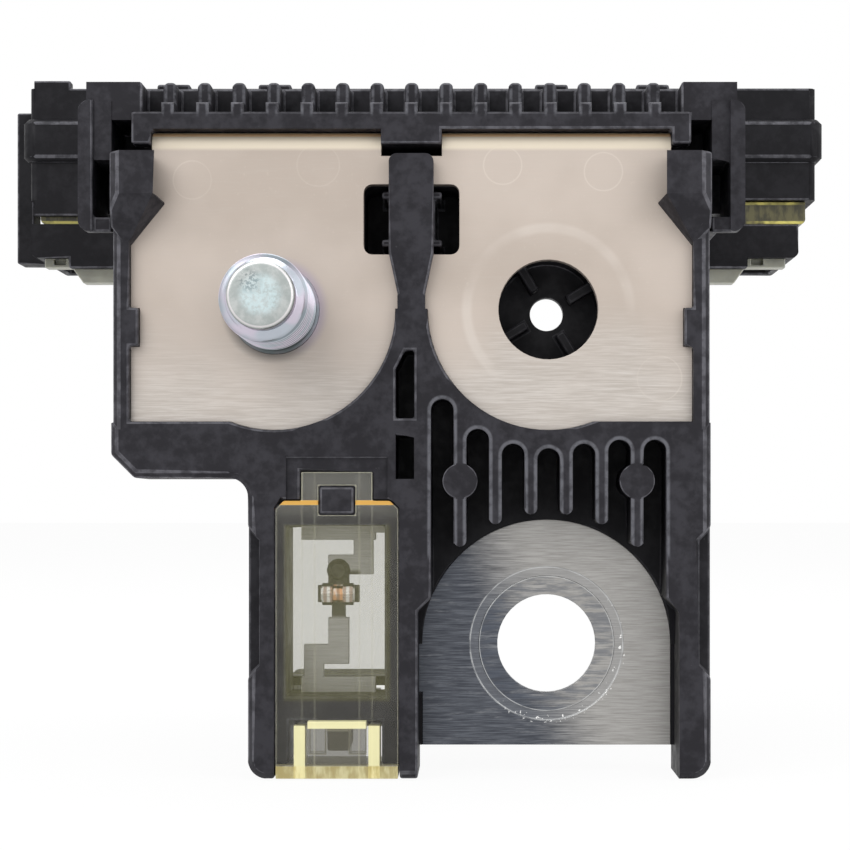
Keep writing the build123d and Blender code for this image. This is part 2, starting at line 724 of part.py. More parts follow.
def body_notch(x, inward):
    """Long notch with sloping ends in a front edge of the body."""
    inner = x + inward * NOTCH_W
    outer = x - inward * NOTCH_W
    shape = outline(
        (outer, NOTCH_LOW_Z - NOTCH_W),
        (x, NOTCH_LOW_Z - NOTCH_W),
        (inner, NOTCH_LOW_Z),
        (inner, NOTCH_HIGH_Z),
        (x, NOTCH_HIGH_Z + NOTCH_W),
        (outer, NOTCH_HIGH_Z + NOTCH_W),
    )
    return from_front(shape, FACE_Y - CUT, FACE_Y + NOTCH_D)


def front_housing(stud):
    """The upright moulding, set round the sheet."""
    solid = from_front(upright_outline(), FACE_Y, BACK_Y)
    solid = chamfer(solid.faces().sort_by(Axis.Y)[0].outer_wire().edges(), EDGE_CHAMFER)

    # Plates lie open between the frame, the centre rib and the band below them.
    solid -= from_front(plates_outline(), FACE_Y - CUT, PLATE_BACK)
    solid += centre_rib()
    lock_cut = from_front(lock_window(), PLATE_BACK, BACK_Y + CUT)
    solid -= lock_cut

    # Cup behind the plate hole.
    solid -= from_front(disc(0, HOLE_RISE, PLATE_HOLE_R + WALL_GAP / 3), PLATE_Y, 0)
    solid += from_front(disc(0, HOLE_RISE, PLATE_HOLE_R + FRAME_SKIN), 0, CUP_FLOOR_T)
    solid -= from_front(disc(0, HOLE_RISE, PLATE_HOLE_R + FRAME_SKIN + CUT), CUP_FLOOR_T, BACK_Y + CUT)
    solid -= from_front(disc(0, HOLE_RISE, CUP_HOLE_R), -CUT, CUP_FLOOR_T + CUT)
    for quarter in range(4):
        solid += crush_rib(CUP_RIB_TURN + 90 * quarter)

    # Waffle in the back, and the two claws in front.
    solid -= from_front(back_cells(), PLATE_BACK + FRAME_SKIN, BACK_Y + CUT)
    solid += both_sides(claw())

    # Bay of the battery tab, open below it and behind it.
    solid -= from_front(tab_recess(), FACE_Y - CUT, -SLOT_SKIN)
    bay = disc(0, 0, TAB_R) + rect(-RECESS_HALF, RECESS_HALF, BODY_LOW_Z - CUT, 0)
    solid -= from_front(bay, -SLOT_SKIN - CUT, 0)
    hold = TAB_R - REAR_MARGIN
    rear = disc(0, 0, hold) + rect(-hold, hold, BODY_LOW_Z - CUT, 0)
    rear += rect(-RECESS_HALF, RECESS_HALF, BODY_LOW_Z - CUT, -TAB_DROP)
    solid -= from_front(rear, -CUT, BACK_Y + CUT)

    solid -= from_front(column_pockets(), FACE_Y - CUT, -SLOT_SKIN)
    solid -= body_notch(BODY_LEFT, 1) + body_notch(BODY_RIGHT, -1)

    # Viewing window of the link, recess of the front cover, and its two catches.
    view = rect(LINK_X - VIEW_HALF, LINK_X + VIEW_HALF, VIEW_LOW_Z, VIEW_TOP_Z)
    solid -= from_front(view, FACE_Y - CUT, BACK_Y + CUT)
    solid -= from_front(cover_recess(COVER_GAP), FACE_Y - CUT, FACE_Y + COVER_T)
    frame = rect(
        COVER_MID - TONGUE_W / 2 - TONGUE_FRAME_W, COVER_MID + TONGUE_W / 2 + TONGUE_FRAME_W,
        COVER_TOP_Z, COVER_TOP_Z + TONGUE_H + TONGUE_FRAME_W,
    )
    solid -= from_front(frame, FACE_Y - CUT, FACE_Y + TONGUE_FRAME_D)
    solid += from_front(upper_catch(0), FACE_Y, FACE_Y + 2 * COVER_T)
    lower_top = VIEW_LOW_Z - CROSSBAR_H
    foot_half = VIEW_HALF - FOOT_MARGIN
    foot = rect(LINK_X - foot_half, LINK_X + foot_half, BODY_LOW_Z, lower_top)
    solid -= from_front(foot, FACE_Y - CUT, BACK_Y + CUT)
    solid -= block(
        COVER_LEFT - COVER_GAP, COVER_RIGHT + COVER_GAP, FACE_Y - CUT, BACK_Y + CUT,
        BODY_LOW_Z - CUT, BODY_LOW_Z + LEDGE_H + COVER_GAP,
    )
    post = rect(COVER_MID - POST_W / 2, COVER_MID + POST_W / 2, lower_top - POST_H, lower_top + 0.1)
    solid += from_front(post, FACE_Y + 2 * COVER_T, BACK_Y)

    # Shroud of the outlet blade, behind.
    z = VIEW_LOW_Z - CROSSBAR_H / 2
    half_w = SHROUD_W / 2
    half_h = SHROUD_H / 2
    shroud = soft_rect(LINK_X - half_w, LINK_X + half_w, z - half_h, z + half_h, BEND_R)
    shroud -= rect(
        LINK_X - half_w + SHROUD_WALL, LINK_X + half_w - SHROUD_WALL,
        z - half_h + SHROUD_WALL, z + half_h - SHROUD_WALL,
    )
    solid += from_front(shroud, BACK_Y, BACK_Y + SHROUD_L)
    catch = from_front(upper_catch(0), BACK_Y, BACK_Y + COVER_T)
    return (solid + catch - hidden_metal() - stud).solid()


# Clear covers of the upright unit
def front_window_cover():
    """Clear front cover: plate with its upper tongue, ledge under the column and lower hook."""
    solid = from_front(cover_recess(0) - upper_catch(COVER_GAP), FACE_Y, FACE_Y + COVER_T)
    solid -= block(
        COVER_LEFT - CUT, COVER_RIGHT + CUT, FACE_Y - CUT, BACK_Y, BODY_LOW_Z - CORNER_R, BODY_LOW_Z
    )
    solid += block(COVER_LEFT, COVER_RIGHT, FACE_Y, BACK_Y, BODY_LOW_Z, BODY_LOW_Z + LEDGE_H)
    post_top = VIEW_LOW_Z - CROSSBAR_H - POST_H / 3
    post_low = VIEW_LOW_Z - CROSSBAR_H - POST_H
    hook_top = post_top + COVER_GAP + HOOK_BAR_H
    hook = rect(COVER_MID - HOOK_W / 2, COVER_MID + HOOK_W / 2, post_low - COVER_GAP, hook_top)
    half = POST_W / 2 + COVER_GAP
    hook -= rect(COVER_MID - half, COVER_MID + half, post_low - COVER_GAP, post_top + COVER_GAP)
    solid += from_front(hook, FACE_Y + COVER_T, FACE_Y + 2 * COVER_T - COVER_GAP)
    for x in (COVER_MID - LEG_OFF, COVER_MID + LEG_OFF):
        leg_top = BODY_LOW_Z + LEDGE_H + LEG_H
        solid += block(x - LEG_W / 2, x + LEG_W / 2, FACE_Y, FACE_Y + LEG_D, BODY_LOW_Z, leg_top)
    return solid.solid()


def back_window_cover():
    """Clear cover over the back of the viewing window, above the outlet's shroud."""
    low = VIEW_LOW_Z - CROSSBAR_H / 2 + SHROUD_H / 2 + COVER_GAP
    plate = rect(COVER_LEFT, COVER_RIGHT, low, COVER_TOP_Z)
    plate = chamfer(plate.vertices(), BEND_R)
    half = TONGUE_W / 2
    plate += rect(COVER_MID - half, COVER_MID + half, VIEW_TOP_Z, COVER_TOP_Z + TONGUE_H)
    plate -= upper_catch(COVER_GAP)
    return from_front(plate, BACK_Y, BACK_Y + COVER_T).solid()


# Level housing
def arm():
    """Left side arm: a channel open towards the upright unit, with a rounded outer edge."""
    left = MID_X - NECK_HALF
    shape = rect(left, left + ARM_LIP, ARM_LOW_Z, ARM_TOP_Z)
    shape = fillet(shape.vertices().group_by(Axis.X)[0], ARM_CORNER_R)
    solid = from_front(shape, -ARM_LEAD, ARM_BACK)
    heel_y = ARM_T - ARM_LEAD
    hollow = outline(
        (-ARM_LEAD - CUT, ARM_OPEN_Z),
        (-ARM_LEAD - CUT, ARM_LOW_Z + ARM_T),
        (heel_y, ARM_LOW_Z + ARM_T),
        (ARM_BACK, NECK_LOW_Z + ARM_T),
        (ARM_BACK + CUT, NECK_LOW_Z + ARM_T),
        (ARM_BACK + CUT, ARM_OPEN_Z),
    )
    solid -= from_side(hollow, left + ARM_T, left + ARM_LIP + CUT)
    solid -= block(
        left + ARM_T, left + ARM_LIP + CUT, -ARM_LEAD - CUT, ARM_WEB_SET - ARM_LEAD,
        ARM_LOW_Z, ARM_TOP_Z + CUT,
    )
    heel = outline(
        (heel_y, ARM_LOW_Z - CUT),
        (heel_y, ARM_LOW_Z),
        (ARM_BACK, NECK_LOW_Z),
        (ARM_BACK + CUT, NECK_LOW_Z),
        (ARM_BACK + CUT, ARM_LOW_Z - CUT),
    )
    solid -= from_side(heel, left - CUT, left + ARM_LIP + CUT)
    crown = outline(
        (REAR_Y, ARM_TOP_Z + CUT),
        (REAR_Y, ARM_TOP_Z),
        (ARM_BACK, ROOF_Z),
        (ARM_BACK + CUT, ROOF_Z),
        (ARM_BACK + CUT, ARM_TOP_Z + CUT),
    )
    solid -= from_side(crown, left - CUT, left + ARM_LIP + CUT)
    # Behind the bend the lip leaves room for the covers above and below.
    for low, high in ((ARM_LOW_Z - CUT, NECK_LOW_Z), (ROOF_Z, ARM_TOP_Z + CUT)):
        solid -= block(left + ARM_T, left + ARM_LIP + CUT, REAR_Y, ARM_BACK + CUT, low, high)
    return solid


def comb():
    """Ribs over the bend with a foot in front of each, the wall behind them and its four nubs."""
    top = BAR_Z + COMB_H
    rib_y = FACE_Y + COMB_SET
    wall_y = rib_y + COMB_DEPTH
    half = COMB_RIB_W / 2
    foot = COMB_FOOT_W / 2
    ribs = block(MID_X - CORNER_IN, MID_X + CORNER_IN, wall_y, wall_y + COMB_WALL_T, BAR_Z, top)
    for index in range(COMB_COUNT):
        x = MID_X + COMB_PITCH * (index - (COMB_COUNT - 1) / 2)
        rib = rect(x - half, x + half, BAR_Z, top)
        rib = chamfer(rib.vertices().group_by(Axis.Y)[-1], half / 2)
        ribs += from_front(rib, rib_y, wall_y)
        ribs += block(x - foot, x + foot, FACE_Y, rib_y, BAR_Z, BAR_Z + COMB_FOOT_H)
    for side in (-1, 1):
        for pitches in (4, 7):
            x = MID_X + side * (COMB_PITCH * pitches + COMB_RIB_W / 4)
            ribs += block(
                x - COMB_NUB_W / 2, x + COMB_NUB_W / 2, wall_y + COMB_WALL_T, wall_y + 2 * COMB_WALL_T,
                BAR_Z, top + COMB_NUB_RISE,
            )
    return ribs


def lock_post():
    """The post that reaches through the lock window of the upright unit, with a flange each end."""
    half = TONGUE_HALF
    flange = COMB_RIB_W / 2
    back = CHAMBER_FRONT - SOCKET_WALL - 2 * TRAY_T
    wall = LOCK_HALF + SOCKET_WALL
    solid = block(MID_X - wall, MID_X + wall, REAR_Y, back, POST_LOW_Z - ARM_T, NECK_LOW_Z)
    core = half - flange
    front = PLATE_BACK
    solid += block(MID_X - core, MID_X + core, front + flange, REAR_Y, POST_LOW_Z, POST_TOP_Z)
    for z in (POST_LOW_Z, POST_TOP_Z - flange):
        solid += block(MID_X - half, MID_X + half, front, REAR_Y, z, z + flange)
    return solid


def level_window(gap):
    """Plan of a cover over the row of chambers, with two tongues towards the bend."""
    half = LINK_PITCH * LINK_COUNT / 2 + CHAMBER_WALL / 2
    front = CHAMBER_FRONT - SOCKET_WALL
    back = CHAMBER_FRONT + CHAMBER_L + SOCKET_WALL
    shape = rect(MID_X - half, MID_X + half, front, back)
    shape = chamfer(shape.vertices(), BEND_R)
    for x in level_catches():
        shape += rect(x - TONGUE_W / 2, x + TONGUE_W / 2, front - TONGUE_H, front + CUT)
        shape -= level_catch(x, gap)
    return shape


def level_catches():
    """Centres of the tongues of a level cover."""
    return (MID_X - LINK_PITCH * 1.5, MID_X + LINK_PITCH * 1.5)


def level_catch(x, gap):
    """Plan of the catch that a tongue of a level cover snaps over."""
    half = CATCH_W / 2 + gap
    y = CHAMBER_FRONT - SOCKET_WALL - TONGUE_H / 2
    return rect(x - half, x + half, y - CATCH_H / 3 - gap, y + CATCH_H / 3 + gap)


def connector_block():
    """The block across the back: three sockets that open upwards, and a rail round it."""
    left = MID_X - BLOCK_HALF
    right = MID_X + BLOCK_HALF
    shape = soft_rect(left, right, NECK_BACK, BLOCK_BACK, BEND_R)
    solid = from_top(shape, SHEET_TOP_Z, BLOCK_TOP_Z)
    rail = soft_rect(
        left - RAIL_OUT, right + RAIL_OUT, NECK_BACK - RAIL_OUT, BLOCK_BACK + RAIL_OUT, BEND_R + RAIL_OUT
    )
    rail_solid = from_top(rail, RAIL_LOW_Z, RAIL_LOW_Z + RAIL_H)
    rims = rail_solid.faces().sort_by(Axis.Z)[0].edges() + rail_solid.faces().sort_by(Axis.Z)[-1].edges()
    solid += chamfer(rims, RAIL_BEVEL)
    lower = block(MID_X - NECK_HALF, MID_X + NECK_HALF, NECK_BACK, BLOCK_BACK, NECK_LOW_Z, SHEET_TOP_Z)
    solid += lower
    for first, last in ((0, 1), (2, 2), (3, 4)):
        x0 = blade_x(first) - SOCKET_SIDE
        x1 = blade_x(last) + SOCKET_SIDE
        cavity = soft_rect(x0, x1, NECK_BACK + SOCKET_WALL, BLOCK_BACK - SOCKET_WALL, BEND_R)
        solid -= from_top(cavity, SOCKET_FLOOR_Z, BLOCK_TOP_Z + CUT)
    cap = block(
        left + RAIL_BEVEL, left + RAIL_BEVEL + CAP_W, NECK_BACK, NECK_BACK + SOCKET_WALL,
        BLOCK_TOP_Z, BLOCK_TOP_Z + CAP_H,
    )
    lip = block(
        left + RAIL_BEVEL, left + RAIL_BEVEL + LIP_L, NECK_BACK, NECK_BACK + TRAY_SET - COVER_GAP,
        TRAY_LOW_Z + CAP_H, SHEET_TOP_Z,
    )
    return solid + cap + lip


def level_housing():
    """The level moulding, set round the sheet."""
    left = MID_X - NECK_HALF
    right = MID_X + NECK_HALF
    solid = block(left, right, REAR_Y, NECK_BACK, NECK_LOW_Z, ROOF_Z)
    solid += connector_block()
    bar_left = MID_X - BAR_HALF
    bar_right = MID_X + BAR_HALF
    solid += block(bar_left, bar_right, FACE_Y, REAR_Y, SHEET_TOP_Z, BAR_Z)
    drop_z = SHEET_TOP_Z - BAR_DROP
    solid += block(MID_X - TONGUE_HALF, MID_X + TONGUE_HALF, FACE_Y, REAR_Y, drop_z, SHEET_TOP_Z)
    step = block(bar_left, bar_left + BAR_STEP_W, FACE_Y, PLATE_BACK, drop_z, SHEET_TOP_Z)
    solid += both_sides(step - block(MID_X - SHOULDER_HALF, MID_X, FACE_Y, REAR_Y, 0, SHEET_TOP_Z))
    solid += comb()
    post = block(
        MID_X - CORNER_OUT, MID_X - CORNER_IN, FACE_Y + SOCKET_WALL, REAR_Y, CORNER_LOW_Z, CORNER_TOP_Z
    )
    solid += both_sides(post)
    solid += both_sides(arm())
    solid += lock_post()
    for index in range(LINK_COUNT):
        x = link_x(index)
        half = (LINK_PITCH - CHAMBER_WALL) / 2
        solid -= block(
            x - half, x + half, CHAMBER_FRONT, CHAMBER_FRONT + CHAMBER_L, NECK_LOW_Z - CUT, ROOF_Z + CUT
        )
    for x in level_catches():
        solid += from_top(level_catch(x, 0), ROOF_Z, ROOF_Z + COVER_T)
        solid += from_top(level_catch(x, 0), NECK_LOW_Z - COVER_T, NECK_LOW_Z)
    return (solid - bend() - level_metal()).solid()


def level_cover(z0):
    """Clear cover of the row of links, above or below it."""
    return from_top(level_window(COVER_GAP), z0, z0 + COVER_T).solid()


# Pieces under the two wings of the connector block
def wing_tray():
    """Left clear tray round the end of the outer track."""
    out = MID_X - TRAY_OUT
    inner = MID_X - NECK_HALF
    y0 = NECK_BACK + TRAY_SET
    y1 = BLOCK_BACK - TRAY_SET
    shape = rect(out, inner, TRAY_LOW_Z, SHEET_TOP_Z)
    shape = fillet(corner(shape, out, TRAY_LOW_Z), TRAY_EDGE)
    well = block(
        out + TRAY_T, inner + CUT, y0 + TRAY_T, y1 - TRAY_T, TRAY_LOW_Z + TRAY_T, SHEET_TOP_Z + CUT
    )
    return (from_front(shape, y0, y1) - well).solid()


def shell_out(side):
    """Half width of the lower shells: the left one reaches the block's end."""
    return BLOCK_HALF if side < 0 else BLOCK_HALF - SHELL_SET


def step_width(side):
    return LEFT_STEP_W if side < 0 else RIGHT_STEP_W


def insert_well(side, gap):
    """Left-hand front view of the well in a lower shell, drawn in by a gap."""
    left = -shell_out(side) + SHELL_WALL + gap
    right = -NECK_HALF - SHELL_WALL / 2 - gap
    return rect(left, right, WING_SHELL_LOW_Z - INSERT_DROP, TRAY_LOW_Z - SHELL_WALL - gap)


def on_side(solid, side):
    """A left-hand solid drawn about x = 0, set in place on its own side."""
    placed = Pos(MID_X, 0, 0) * solid
    return placed.solid() if side < 0 else other_side(placed).solid()


def wing_shell(side):
    """Black lower shell of a wing. The left one has a tall outer flange."""
    out = shell_out(side)
    inner = -NECK_HALF - COVER_GAP
    low = WING_SHELL_LOW_Z
    shape = rect(-out, inner, low, TRAY_LOW_Z)
    shape = fillet(corner(shape, -out, low), BEND_R)
    solid = from_front(shape, NECK_BACK + TRAY_SET / 2, BLOCK_BACK - TRAY_SET / 2)
    well = insert_well(side, 0) + rect(-out + SHELL_WALL, inner - SHELL_WALL / 2, 0, low)
    solid -= from_front(well, NECK_BACK + INSERT_SET, BLOCK_BACK - INSERT_SET)
    step = rect(inner - step_width(side), inner, low - STEP_DROP, low)
    solid += from_front(step, NECK_BACK + TRAY_SET / 2, NECK_BACK + INSERT_SET)
    if side < 0:
        x = -BLOCK_HALF - RAIL_OUT - COVER_GAP
        y0 = NECK_BACK + BLOCK_T / 3
        y1 = y0 + FLANGE_D
        solid += block(x - FLANGE_T, x, y0, y1, low, FLANGE_TOP_Z)
        solid += block(x - FLANGE_T, -out + CUT, y0, y1, low, TRAY_LOW_Z)
    return on_side(solid, side)


def lock_insert(side):
    """Natural-coloured lock in the well of a lower shell, with a tapered foot next to the neck."""
    shape = insert_well(side, COVER_GAP)
    low = WING_SHELL_LOW_Z - INSERT_DROP
    inner = -NECK_HALF - SHELL_WALL / 2 - COVER_GAP
    foot = -NECK_HALF - step_width(side)
    tapered = outline(
        (foot, low),
        (inner, low),
        (inner, low - INSERT_FOOT),
        (foot + INSERT_TAPER, low - INSERT_FOOT),
    )
    y0 = NECK_BACK + INSERT_SET + COVER_GAP
    y1 = BLOCK_BACK - INSERT_SET - COVER_GAP
    solid = from_front(shape, y0, y1)
    solid -= block(-BLOCK_HALF, 0, y0 + INSERT_FRONT_T, y1 + CUT, low - CUT, low + 2 * INSERT_DROP)
    solid += from_front(tapered, y0, y0 + INSERT_FRONT_T)
    hole_x = foot - CATCH_HOLE_W
    solid -= block(
        hole_x - CATCH_HOLE_W / 2, hole_x + CATCH_HOLE_W / 2, y0 - CUT, y0 + CUT,
        low + CATCH_HOLE_H / 2, low + CATCH_HOLE_H * 3 / 2,
    )
    return on_side(solid, side)


def other_side(solid):
    """The mirror image of a left-hand piece."""
    return mirror(solid, about=Plane.YZ.offset(MID_X))


def write(name, shape):
    """Write one node, as its solid or as a group of solids."""
    export_step(shape, os.path.join("parts", name + ".step"))


def main():
    os.makedirs("parts", exist_ok=True)
    stud = terminal_stud()
    write("bus_sheet", bus_sheet())
    write("terminal_stud", stud)
    write("front_housing", front_housing(stud))
    write("level_housing", level_housing())
    write("front_pellet", upright_place(link_pellet()).solid())
    for index in range(LINK_COUNT):
        write("level_pellet_%d" % (index + 1), level_place(link_pellet(), index).solid())
    write("front_window_cover", front_window_cover())
    write("back_window_cover", back_window_cover())
    write("top_window_cover", level_cover(ROOF_Z))
    write("bottom_window_cover", level_cover(NECK_LOW_Z - COVER_T))
    tray = wing_tray()
    write("left_tray", tray)
    write("right_tray", other_side(tray).solid())
    for name, side in (("left", -1), ("right", 1)):
        write(name + "_lower_shell", wing_shell(side))
        write(name + "_lock_insert", lock_insert(side))


main()
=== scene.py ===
import json
import math

import bmesh
import bpy
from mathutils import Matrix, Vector
from mathutils.bvhtree import BVHTree
from mathutils.kdtree import KDTree

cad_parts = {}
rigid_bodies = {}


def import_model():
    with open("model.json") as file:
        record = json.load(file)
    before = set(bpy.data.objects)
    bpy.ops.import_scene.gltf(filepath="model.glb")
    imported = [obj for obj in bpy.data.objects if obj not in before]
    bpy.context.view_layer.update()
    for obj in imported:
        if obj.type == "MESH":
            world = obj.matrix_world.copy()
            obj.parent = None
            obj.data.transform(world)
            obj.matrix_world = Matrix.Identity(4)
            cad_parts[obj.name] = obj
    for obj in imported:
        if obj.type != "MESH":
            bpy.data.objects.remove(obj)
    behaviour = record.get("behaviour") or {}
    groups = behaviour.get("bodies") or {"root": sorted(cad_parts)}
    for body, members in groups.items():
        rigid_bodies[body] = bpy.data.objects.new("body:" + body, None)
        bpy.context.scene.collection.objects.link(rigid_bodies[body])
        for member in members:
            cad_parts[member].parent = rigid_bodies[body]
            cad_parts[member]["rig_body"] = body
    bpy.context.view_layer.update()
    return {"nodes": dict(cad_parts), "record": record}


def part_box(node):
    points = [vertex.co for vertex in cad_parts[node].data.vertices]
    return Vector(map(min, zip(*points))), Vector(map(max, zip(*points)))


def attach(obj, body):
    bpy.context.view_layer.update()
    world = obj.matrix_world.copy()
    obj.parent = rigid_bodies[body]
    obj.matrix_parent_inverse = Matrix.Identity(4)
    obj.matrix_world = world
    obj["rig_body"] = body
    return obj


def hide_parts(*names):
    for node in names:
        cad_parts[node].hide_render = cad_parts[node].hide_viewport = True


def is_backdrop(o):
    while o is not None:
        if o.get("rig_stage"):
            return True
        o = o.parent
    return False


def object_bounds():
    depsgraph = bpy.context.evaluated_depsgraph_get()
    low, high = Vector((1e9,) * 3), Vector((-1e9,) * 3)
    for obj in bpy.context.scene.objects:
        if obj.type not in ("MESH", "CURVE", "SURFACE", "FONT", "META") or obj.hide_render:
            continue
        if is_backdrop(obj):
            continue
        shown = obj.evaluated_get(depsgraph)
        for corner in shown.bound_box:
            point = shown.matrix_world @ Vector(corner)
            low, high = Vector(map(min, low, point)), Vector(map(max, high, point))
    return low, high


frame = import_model()

MM = 0.001
WELD = 0.001 * MM

# Places on the part, in metres, read from the frame
STUD_LOW, STUD_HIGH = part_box("terminal_stud")
STUD_X = (STUD_LOW.x + STUD_HIGH.x) / 2
STUD_Z = (STUD_LOW.z + STUD_HIGH.z) / 2
PELLET_LOW, PELLET_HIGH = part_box("front_pellet")
PELLET_X = (PELLET_LOW.x + PELLET_HIGH.x) / 2
COVER_LOW, COVER_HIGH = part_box("front_window_cover")
COVER_MID_X = (COVER_LOW.x + COVER_HIGH.x) / 2
TRAY_LOW, TRAY_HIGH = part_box("left_tray")

# Places on the sheet
PLATE_FRONT = -5.0 * MM
PLATE_BACK = -3.8 * MM
PLATE_HOLE_Z = STUD_Z
PLATE_FOOT_LOW = 22 * MM
PLATE_FOOT_HIGH = 33 * MM
RING_IN = 6.5 * MM
RING_OUT = 7.4 * MM
WORN_R = 7.7 * MM
BEND_Z = 46.9 * MM
BEND_LINE_Z = 48.35 * MM
UPRIGHT_BACK = 2.0 * MM
TAB_LEFT_X = -12.5 * MM
LINK_RIGHT_X = -14.5 * MM
LINK_TOP_Z = 14.0 * MM
COLLAR_Z = 4.8 * MM
STRIPE_PITCH = 0.62 * MM
# Rings of the stamping pins: x, z and radius in millimetres
PIN_MARKS = ((-21.7, 45.4, 2.0), (-33.6, 44.0, 1.8), (5.2, 44.8, 1.8), (-4.3, 45.4, 1.8), (10.5, 25.3, 2.1))

# Places on the black mouldings
BODY_FRONT = -6.0 * MM
BODY_TOP_Z = 36.0 * MM
MIDDLE_X = -12.9 * MM
COMB_Z = 49.3 * MM
COMB_PITCH = 3.27 * MM
COMB_REACH = 27 * MM
GLINT_REACH = COMB_PITCH * 7.4
COMB_BACK = -3.1 * MM
ARM_X = 30.0 * MM
SLOT_COUNT = 7
SLOT_PITCH = 3.33 * MM
SLOT_W = 2.13 * MM
SLOT_LOBE_R = 13.1 * MM
SLOT_TOP_Z = 19.5 * MM
SLOT_LOW_Z = 8.5 * MM
PAD_X = 8.33 * MM
PAD_Z = 15.6 * MM
PAD_R = 1.75 * MM

# Places on the clear covers and trays
COVER_BACK = COVER_HIGH.y
COVER_SHOULDER_Z = COVER_HIGH.z - 2.7 * MM
COVER_LEGS = (COVER_MID_X - 3.5 * MM, COVER_MID_X + 3.5 * MM)
COVER_LINES = (-3.3 * MM, -2.1 * MM, 2.1 * MM, 3.3 * MM)
FOOT_TOP_Z = COVER_LOW.z + 1.25 * MM
LEG_TOP_Z = COVER_LOW.z + 5.0 * MM
HOOK_Z = COVER_LOW.z + 5.1 * MM
HOOK_HALF = 2.7 * MM
WINDOW_Z = 3.2 * MM
WINDOW_H = 16.4 * MM
WINDOW_HALF = 4.9 * MM
TRAY_HIGHLIGHT_INSET = 0.25 * MM

# Terminal stud, M8 with a dog point
THREAD_R = 4.0 * MM
THREAD_ROOT_R = 3.36 * MM
THREAD_PITCH = 1.25 * MM
THREAD_CHAMFER = 0.8 * MM
ROOT_FLAT = 0.2
FLANK_SHARE = 0.62
COLLAR_R = 4.2 * MM
COLLAR_FRONT = -5.3 * MM
DOG_R = 3.05 * MM
DOG_L = 2.0 * MM
DOG_EDGE = 0.45 * MM
HEAD_R = 6.5 * MM
HEAD_BACK = PLATE_BACK + 2.0 * MM
TURN_STEPS = 96
RIM_STEPS = 5
THREAD_END = STUD_LOW.y + DOG_L
ROWS_A_TURN = 14
STUD_SHARP = 50.0
SPECKS_X = STUD_X - 0.9 * MM
SPECKS_Z = STUD_Z + 1.2 * MM

# Rounding of moulded and stamped edges
SHARP = 32.0
FLAT = 0.5
ROUNDING_SHARE = 0.8
ROUNDING_TRIES = 10
RIM_MARK = 1
SLIVER_SHARE = 0.01
FOLDED = 0.5
ALONG_AXIS = 0.9999
CLEAR_GAP = 0.05 * MM
EDGE_RADIUS = {
    "black_plastic": 0.22 * MM,
    "clear_plastic": 0.12 * MM,
    "natural_plastic": 0.12 * MM,
    "tinned_sheet": 0.06 * MM,
}

# Camera, which looks level at the plates
CAMERA_X = -7.1 * MM
CAMERA_Z = 12.89 * MM
CAMERA_AWAY = 200 * MM
LENS_MM = 89.8
SENSOR_MM = 36.0
SHIFT_X = -0.0565
SHIFT_Y = 0.10


# The photo's view
def look_camera():
    data = bpy.data.cameras.new("view")
    data.lens = LENS_MM
    data.sensor_width = SENSOR_MM
    data.shift_x = SHIFT_X
    data.shift_y = SHIFT_Y
    data.clip_start = 0.01
    camera = bpy.data.objects.new("view", data)
    camera.location = (CAMERA_X, PLATE_FRONT - CAMERA_AWAY, CAMERA_Z)
    camera.rotation_euler = (math.radians(90), 0, 0)
    bpy.context.scene.collection.objects.link(camera)
    bpy.context.scene.camera = camera


look_camera()


# Arithmetic on the numbers of a node tree
class Number:
    """A socket that holds a number: arithmetic on it adds Math nodes."""

    def __init__(self, tree, socket):
        self.tree = tree
        self.socket = socket

    def math(self, operation, *others, clamp=False):
        node = self.tree.nodes.new("ShaderNodeMath")
        node.operation = operation
        node.use_clamp = clamp
        for index, value in enumerate((self,) + others):
            if isinstance(value, Number):
                self.tree.links.new(value.socket, node.inputs[index])
            else:
                node.inputs[index].default_value = value
        return Number(self.tree, node.outputs[0])

    def flipped(self, operation, other):
        node = self.tree.nodes.new("ShaderNodeMath")
        node.operation = operation
        node.inputs[0].default_value = other
        self.tree.links.new(self.socket, node.inputs[1])
        return Number(self.tree, node.outputs[0])

    def __add__(self, other):
        return self.math("ADD", other)

    def __radd__(self, other):
        return self.flipped("ADD", other)

    def __sub__(self, other):
        return self.math("SUBTRACT", other)

    def __rsub__(self, other):
        return self.flipped("SUBTRACT", other)

    def __mul__(self, other):
        return self.math("MULTIPLY", other)

    def __rmul__(self, other):
        return self.flipped("MULTIPLY", other)

    def __truediv__(self, other):
        return self.math("DIVIDE", other)

    def step(self, low, high):
        """0 below low, 1 above high, smooth between them."""
        node = self.tree.nodes.new("ShaderNodeMapRange")
        node.interpolation_type = "SMOOTHSTEP"
        self.tree.links.new(self.socket, node.inputs["Value"])
        node.inputs["From Min"].default_value = low
        node.inputs["From Max"].default_value = high
        return Number(self.tree, node.outputs["Result"])

    def band(self, middle, half, soft):
        """1 within half of middle, fading to 0 over soft."""
        return (self - middle).math("ABSOLUTE").step(half + soft, half)


# Sockets of the Mix node that hold colours
MIX_ONE = 6
MIX_TWO = 7
MIX_RESULT = 2


